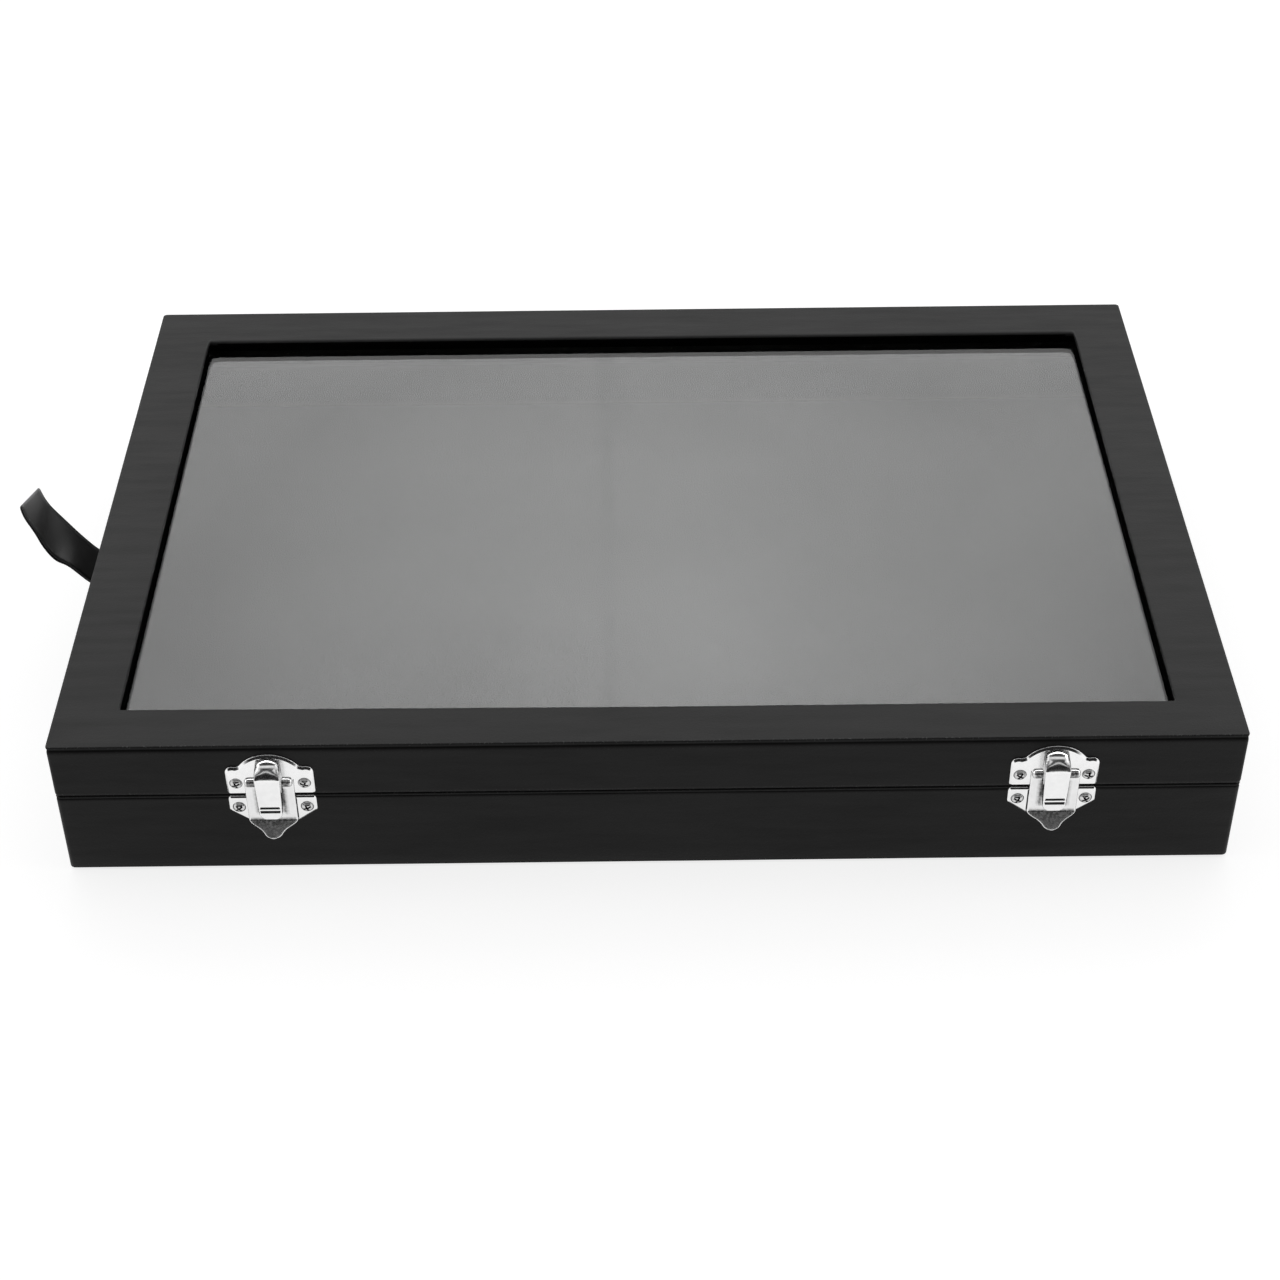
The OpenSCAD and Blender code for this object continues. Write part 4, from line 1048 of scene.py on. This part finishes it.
print("lever grid", len(LEVER_ROWS), "x", len(LEVER_SHARES))


# %% Face, underside and dirt of the lever
def lever_half(y, turn):
    """Half the lever's width: it grows from the round tail to the head."""
    wide = LEVER_HALF - 0.1 + 0.35 * clamp((y + 2) / (HEAD_Y + 2))
    if y < TAIL_END:
        return wide - TAIL_R + math.sqrt(max(0.0, TAIL_R ** 2 - (TAIL_END - y) ** 2))
    return wide * (1 - 0.1 * turn - 0.32 * max(0.0, turn - 0.4) ** 2 / 0.36)


def lever_point(row, share):
    y, z, turn = LEVER_ROWS[int(row)]
    half = lever_half(y, turn)
    x = share * half
    near = half - abs(x)
    if y < TAIL_END:
        near = min(near, max(0.0, (y - TAIL_Y) * 1.6))
    if turn:
        grow = min(1.0, turn * 2.5)
        power = 9 - 6.6 * grow
        fall = min(0.45 + 3.2 * grow, z - 1.0)
        z -= fall * (1 - max(0.0, 1 - abs(share) ** power) ** (1 / power))
        y -= turn ** 2 * abs(share) ** 3
    else:
        z -= edge_fall(near, 0.45)
    for start, crest in RIDGES:
        if crest <= y <= start:
            ends = clamp((0.97 - abs(share)) / 0.14)
            z += RIDGE_RISE * min(1.0, (start - y) / (start - crest - 0.1)) * ends
    return x, y, z


def lever_depth(y):
    """Rise of the lower edge of the cheeks, which stay clear of the bridge when the lever is pressed."""
    root, slope = BRIDGE_RISE + 0.25, math.tan(PRESS)
    if y < TAIL_END:
        return LEVER_RISE - LEVER_T
    if y < NOTCH_FOOT:
        return min(LEVER_RISE - LEVER_T, root + (PIN_Y - y) * slope)
    if y < PIN_Y:
        t = (y - NOTCH_FOOT) / (PIN_Y - NOTCH_FOOT)
        return (1 - t) * (root + (PIN_Y - NOTCH_FOOT) * slope) + t * 1.3
    return 1.35


def lever_under(row, share):
    x, y, z = lever_point(row, share)
    limit = (LEVER_HALF - 0.02) * abs(share)
    return max(-limit, min(limit, x)), y, min(lever_depth(y), z - 0.02)


def lever_shade(row, share):
    """Painted dark reflection down both sides of the head, and a little on its crown."""
    turn = LEVER_ROWS[int(row)][2]
    return min(1.0, turn * 5) * (0.18 + 0.67 * clamp((abs(share) - 0.62) / 0.25))


def lever_brushed(row):
    """The thumb face is brushed, but not the ridges and the head."""
    y = LEVER_ROWS[row][0]
    return y < HEAD_Y - 0.2 and not -1.95 < y < 0.6


# %% Levers, hollowed out from below
BACK = LEVER_RISE - LEVER_T
CHANNEL = [(-6, 0), (-6, BACK), (HEAD_Y, BACK), (HEAD_Y, 0)]
HOOD = [
    (HEAD_Y - 1, 0), (HEAD_Y - 1, BACK - 0.3), (HEAD_Y, BACK - 0.3),
    (12.6, 4.1), (13.6, 2.5), (14.15, 2.5), (14.15, 0),
]


def solid(name, bm):
    """A loose object for a boolean, still in millimetres."""
    bmesh.ops.recalc_face_normals(bm, faces=bm.faces)
    mesh = bpy.data.meshes.new(name)
    bm.to_mesh(mesh)
    bm.free()
    made = bpy.data.objects.new(name, mesh)
    bpy.context.collection.objects.link(made)
    return made


def hollowed(bm, profile, half):
    """The mesh less a room, which is a side view drawn out along X, by an exact boolean."""
    room = bmesh.new()
    side_block(room, profile, -half, half)
    work, tool = solid("work", bm), solid("tool", room)
    cut = work.modifiers.new("cut", "BOOLEAN")
    cut.operation, cut.object, cut.solver = "DIFFERENCE", tool, "EXACT"
    bpy.context.view_layer.update()
    made = bpy.data.meshes.new_from_object(work.evaluated_get(bpy.context.evaluated_depsgraph_get()))
    for o in (work, tool):
        bpy.data.objects.remove(o)
    out = bmesh.new()
    out.from_mesh(made)
    bpy.data.meshes.remove(made)
    return out


for hand, x in LEVERS.items():
    bm = bmesh.new()
    # The lever's cut edges and the sides of its head are painted darker: painted shade.
    raised(bm, list(range(len(LEVER_ROWS))), LEVER_SHARES, lever_point, lever_under, lambda i, j: True,
           lever_brushed, lever_shade, cut_edge_and_shade=0.5)
    bm = hollowed(bm, CHANNEL, LEVER_HALF - LEVER_T)
    bm = hollowed(bm, HOOD, 2.35)
    settle(f"{hand}_lever", bm, nickel, f"{hand}_lever", f"{hand}_latch_lever",
           corner=28, to_world=front_frame(x))

# %% [markdown]
# ## Hinges, pins and springs
# These small pieces are right as CAD solids, but a real pressed edge is never knife-sharp. A copy of each
# solid is merged into one skin, its flat faces are joined, and its edges get a fine bevel. The two leaf
# springs stay as they are.


# %% Softened copies of CAD solids
def cad_copy(node):
    """A CAD solid in millimetres, merged into one skin."""
    bm = bmesh.new()
    bm.from_mesh(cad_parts[node].data)
    bmesh.ops.scale(bm, vec=(1 / MM,) * 3, verts=bm.verts)
    bmesh.ops.remove_doubles(bm, verts=bm.verts, dist=0.002)
    return bm


def softened(node, name, finish, body, width, shortest=0.0, worn=0.0):
    """A copy with its sharp edges rounded. With a shortest edge above 0, small round holes are left alone."""
    bm = cad_copy(node)
    bmesh.ops.dissolve_limit(bm, angle_limit=math.radians(1), verts=bm.verts, edges=bm.edges)
    if shortest:
        bmesh.ops.triangulate(bm, faces=[f for f in bm.faces if len(f.verts) > 4])
    sharp = [e for e in bm.edges if len(e.link_faces) == 2 and e.calc_face_angle(0) > math.radians(30)
             and e.calc_length() > shortest]
    bmesh.ops.bevel(bm, geom=sharp, offset=width, segments=2, profile=0.5, affect="EDGES",
                    clamp_overlap=not shortest)
    mark = layer(bm, "shade_and_patina")
    for vert in bm.verts:
        vert[mark] = worn
    return settle(name, bm, finish, body, node)


for hand in LEVERS:
    softened(f"{hand}_hinge_base_leaf", f"{hand}_hinge_lower_leaf", nickel, "base", 0.15, 2.0, 0.3)
    softened(f"{hand}_hinge_lid_leaf", f"{hand}_hinge_upper_leaf", nickel, "lid", 0.15, 2.0, 0.3)
    softened(f"{hand}_hinge_pin", f"{hand}_hinge_rod", steel, "base", 0.2)
    rod = softened(f"{hand}_latch_pin", f"{hand}_latch_rod", steel, "base", 0.15)
    rod.visible_glossy = False

# %% Leaf springs
for hand, x in LEVERS.items():
    node, name = f"{hand}_latch_spring", f"{hand}_leaf_spring"
    spring = shaded(name, meshed(name, cad_copy(node), steel), 30)
    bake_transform(spring)
    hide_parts(node)
    spring.visible_glossy = False

# %% [markdown]
# ## Screws
# Sixteen small screws, all alike, each stopped at its own angle. Geometry Nodes build one domed head with a
# cross recess, put a copy on every point, turn each by a seeded random angle, and set the whole group against
# the front or the rear of the case.

# %% Inputs of the node tree for a group of screws
SCREW_SIZES = {
    "Head Radius": 1.95, "Head Height": 1.1, "Cross Length": 2.5, "Cross Width": 0.62, "Cross Depth": 0.75,
    "Shank Radius": 1.0, "Shank Length": 3.7, "Tip Length": 1.4, "Seat": 0.9,
}
INPUTS = {"Places": "Geometry"} | {name: "Float" for name in SCREW_SIZES}
INPUTS |= {"Turn Seed": "Int", "Facing": "Vector", "Shift": "Vector", "Finish": "Material"}
tree = screws_tree = bpy.data.node_groups.new("screw_group", "GeometryNodeTree")
for name, kind in INPUTS.items():
    tree.interface.new_socket(name, in_out="INPUT", socket_type="NodeSocket" + kind)
tree.interface.new_socket("Screws", in_out="OUTPUT", socket_type="NodeSocketGeometry")
given = add(tree, "NodeGroupInput").outputs


def xyz(x, y, z):
    return add(tree, "ShaderNodeCombineXYZ", {0: x, 1: y, 2: z}).outputs[0]


def moved(geometry, place=None, turn=None):
    inputs = {"Geometry": geometry}
    for key, value in (("Translation", place), ("Rotation", turn)):
        if value is not None:
            inputs[key] = value
    return add(tree, "GeometryNodeTransform", inputs).outputs[0]


# %% Domed head with a cross recess
square = sums(tree, "MULTIPLY", given["Head Radius"], given["Head Radius"])
square = sums(tree, "DIVIDE", square, given["Head Height"])
dome_r = sums(tree, "MULTIPLY", sums(tree, "ADD", square, given["Head Height"]), 0.5)
sunk = sums(tree, "SUBTRACT", given["Head Height"], dome_r)
ball = add(tree, "GeometryNodeMeshUVSphere", {"Segments": 48, "Rings": 40, "Radius": dome_r}).outputs[0]
ball = moved(ball, place=xyz(0.0, 0.0, sunk))
block = add(tree, "GeometryNodeMeshCube", {"Size": (0.02, 0.02, 0.02)}).outputs[0]
block = moved(block, place=(0, 0, -0.01))
double = sums(tree, "MULTIPLY", given["Cross Depth"], 2.0)
size = xyz(given["Cross Length"], given["Cross Width"], double)
bar = add(tree, "GeometryNodeMeshCube", {"Size": size}).outputs[0]
bar = moved(bar, place=xyz(0.0, 0.0, given["Head Height"]))
bar_two = moved(bar, turn=(0, 0, math.radians(90)))
head = add(tree, "GeometryNodeMeshBoolean", {"Mesh 1": ball}, operation="DIFFERENCE")
for cut in (bar_two, bar, block):
    tree.links.new(cut, head.inputs["Mesh 2"])

# %% Painted shade in the recess and round the seat
here = add(tree, "GeometryNodeInputPosition").outputs[0]
reach = add(tree, "ShaderNodeVectorMath", {0: here, 1: xyz(0.0, 0.0, sunk)}, operation="DISTANCE")
share = sums(tree, "DIVIDE", reach.outputs["Value"], dome_r)
at = add(tree, "ShaderNodeSeparateXYZ", {0: here}).outputs
flat_r = sums(tree, "ADD", sums(tree, "MULTIPLY", at[0], at[0]), sums(tree, "MULTIPLY", at[1], at[1]))
flat_r = sums(tree, "SQRT", flat_r)
seat = spread(tree, sums(tree, "DIVIDE", flat_r, given["Head Radius"]), 0.8, 0.97, 0, 0.8)
# Painted shade: near black in the cross recess and darker towards the head's rim.
recess_shade = sums(tree, "MAXIMUM", spread(tree, share, 0.8, 0.97, 1, 0), seat)
shaded_head = add(tree, "GeometryNodeStoreNamedAttribute", {
    "Geometry": head.outputs[0], "Name": "shade_and_patina", "Value": recess_shade,
}, data_type="FLOAT", domain="POINT").outputs[0]

# %% Shank and tip, and a copy on every point
length, thick = given["Shank Length"], given["Shank Radius"]
rod = add(tree, "GeometryNodeMeshCylinder", {"Vertices": 20, "Radius": thick, "Depth": length}).outputs[0]
rod = moved(rod, place=xyz(0.0, 0.0, sums(tree, "MULTIPLY", length, -0.5)))
tip = add(tree, "GeometryNodeMeshCone", {
    "Vertices": 20, "Radius Top": 0.0002, "Radius Bottom": thick, "Depth": given["Tip Length"],
}).outputs[0]
tip = moved(tip, turn=(math.pi, 0, 0), place=xyz(0.0, 0.0, sums(tree, "MULTIPLY", length, -1.0)))
one = add(tree, "GeometryNodeJoinGeometry")
for part in (shaded_head, rod, tip):
    tree.links.new(part, one.inputs[0])
one = moved(one.outputs[0], place=xyz(0.0, 0.0, given["Seat"]))
angle = add(tree, "FunctionNodeRandomValue", {2: 0.0, 3: math.pi, "Seed": given["Turn Seed"]},
            data_type="FLOAT")
copies = add(tree, "GeometryNodeInstanceOnPoints", {
    "Points": given["Places"], "Instance": one, "Rotation": xyz(0.0, 0.0, angle.outputs[1]),
}).outputs[0]
real = add(tree, "GeometryNodeRealizeInstances", {0: copies}).outputs[0]
real = moved(real, turn=given["Facing"], place=given["Shift"])
real = add(tree, "GeometryNodeSetMaterial", {"Geometry": real, "Material": given["Finish"]}).outputs[0]
tree.links.new(real, add(tree, "NodeGroupOutput").inputs[0])
print("screw tree", len(tree.nodes), "nodes")


# %% Four groups of screws
def screw_group(name, node, body, places, rear, seed):
    points = bpy.data.meshes.new(name)
    points.from_pydata([Vector((x, y, 0)) * MM for x, y in places], [], [])
    holder = bpy.data.objects.new(name + "_points", points)
    bpy.context.collection.objects.link(holder)
    nodes = holder.modifiers.new("screws", "NODES")
    nodes.node_group = screws_tree
    ids = {s.name: s.identifier for s in screws_tree.interface.items_tree if s.in_out == "INPUT"}
    for key, value in SCREW_SIZES.items():
        nodes[ids[key]] = value * MM
    nodes[ids["Turn Seed"]] = seed
    nodes[ids["Facing"]] = (math.pi / 2, 0, math.pi if rear else 0)
    nodes[ids["Shift"]] = (0, (HALF_D if rear else -HALF_D) * MM, PART_Z * MM)
    nodes[ids["Finish"]] = steel
    bpy.context.view_layer.update()
    mesh = bpy.data.meshes.new_from_object(holder.evaluated_get(bpy.context.evaluated_depsgraph_get()))
    bpy.data.objects.remove(holder)
    join_case(shaded(name, mesh, 35), body, node)


def pairs(centres, pitch, y):
    return [(c + s * pitch / 2, y) for c in centres for s in (-1, 1)]


FRONT, REAR = list(LEVERS.values()), (-110, 110)
LATCH_PITCH, HINGE_PITCH = 20.1, 17
screw_group("latch_plate_screws", "latch_base_screws", "base", pairs(FRONT, LATCH_PITCH, -3.95), False, 4)
screw_group("strike_plate_screws", "latch_lid_screws", "lid", pairs(FRONT, LATCH_PITCH, 5.35), False, 11)
screw_group("hinge_lower_screws", "hinge_base_screws", "base", pairs(REAR, HINGE_PITCH, -6.6), True, 7)
screw_group("hinge_upper_screws", "hinge_lid_screws", "lid", pairs(REAR, HINGE_PITCH, 6.6), True, 2)

# %% [markdown]
# ## Ribbon pull
# One satin strip, folded double, with both ends glued in a slit of the left wall. Its two long edges were
# placed in space from the photograph: the near edge runs higher, so the folded end is slanted and catches the
# light. The strip is lofted between those two edges, out along the lower layer and back along the upper one.

# %% Edges of the ribbon
# Each point is a place across the case and a height.
NEAR = [
    (-169.8, 27.0), (-175.0, 27.0), (-178.6, 27.6), (-182.2, 29.3), (-187.9, 35.9),
    (-192.0, 38.9), (-194.9, 43.8), (-196.9, 49.6), (-199.2, 55.6), (-199.9, 60.0),
]
FAR = [
    (-169.8, 27.0), (-175.0, 27.0), (-178.6, 27.4), (-182.2, 28.7), (-187.4, 34.7),
    (-192.6, 42.0), (-195.6, 46.4), (-197.0, 49.2), (-197.9, 51.8), (-198.5, 54.3),
]
RIBBON_Y, RIBBON_W, RIBBON_T = -15.0, 18.0, 0.28
STEPS, ACROSS = 48, 10
print("ribbon edges", len(NEAR), "and", len(FAR), "points")


def smooth_line(points, t):
    """A smooth line through points, at a share t of their count."""
    n = len(points) - 1
    i = min(int(t * n), n - 1)
    s = t * n - i
    p = [Vector(points[max(0, min(n, k))]) for k in (i - 1, i, i + 1, i + 2)]
    return 0.5 * (2 * p[1] + (p[2] - p[0]) * s + (2 * p[0] - 5 * p[1] + 4 * p[2] - p[3]) * s * s
                  + (3 * p[1] - p[0] - 3 * p[2] + p[3]) * s ** 3)


def ribbon_edge(points, t, side):
    """A point of an edge on the lower layer (side -1) or the upper one (side 1). They meet at the fold."""
    p = smooth_line(points, t)
    d = smooth_line(points, min(1, t + 0.01)) - smooth_line(points, max(0, t - 0.01))
    up = Vector((d.y, -d.x)).normalized()
    gap = 0.2 + 0.15 * clamp((t - 0.25) / 0.3)
    gap *= math.sqrt(max(0.0, 1 - max(0.0, (t - 0.955) / 0.045) ** 2))
    if side < 0 and points is NEAR:
        gap += 0.25 * max(0.0, 1 - abs(t - 0.52) / 0.2)
    return p + up * gap * side


# %% Ribbon, with its own UV map along the strip
bm = bmesh.new()
uv = bm.loops.layers.uv.new("strip")
fold_highlight = layer(bm, "fold_highlight")
grid, run, last = [], 0.0, None
stations = [(k / STEPS, -1) for k in range(STEPS + 1)] + [(k / STEPS, 1) for k in range(STEPS, -1, -1)]
for t, side in stations:
    near, far = ribbon_edge(NEAR, t, side), ribbon_edge(FAR, t, side)
    middle = (near + far) / 2
    run += (middle - last).length if last is not None else 0.0
    last = middle
    row = []
    for k in range(ACROSS + 1):
        s = k / ACROSS
        cup = 0.35 * math.sin(math.pi * s) * math.sin(math.pi * clamp((t - 0.25) / 0.75))
        p = near.lerp(far, s)
        v = bm.verts.new((p.x + cup, RIBBON_Y + RIBBON_W * s, p.y - 0.5 * cup))
        # Painted highlight: lighter over the last fifth towards the fold, most across the middle.
        v[fold_highlight] = max(0.0, 1 - (1 - t) / 0.2) * (0.35 + 0.65 * math.sin(math.pi * (0.15 + 0.7 * s)))
        row.append((v, s, run))
    grid.append(row)
for a, b in zip(grid, grid[1:]):
    for k in range(ACROSS):
        quad = (a[k], a[k + 1], b[k + 1], b[k])
        made = bm.faces.new([q[0] for q in quad])
        for loop, (_, s, along) in zip(made.loops, quad):
            loop[uv].uv = (s * RIBBON_W * MM, along * MM)
ribbon = settle("satin_ribbon", bm, satin, "base", "ribbon_pull", corner=180)
weave = ribbon.modifiers.new("cloth", "SOLIDIFY")
weave.thickness = RIBBON_T * MM
weave.offset = 0.0
print("ribbon strip, mm:", RIBBON_W, "x", round(run, 1))
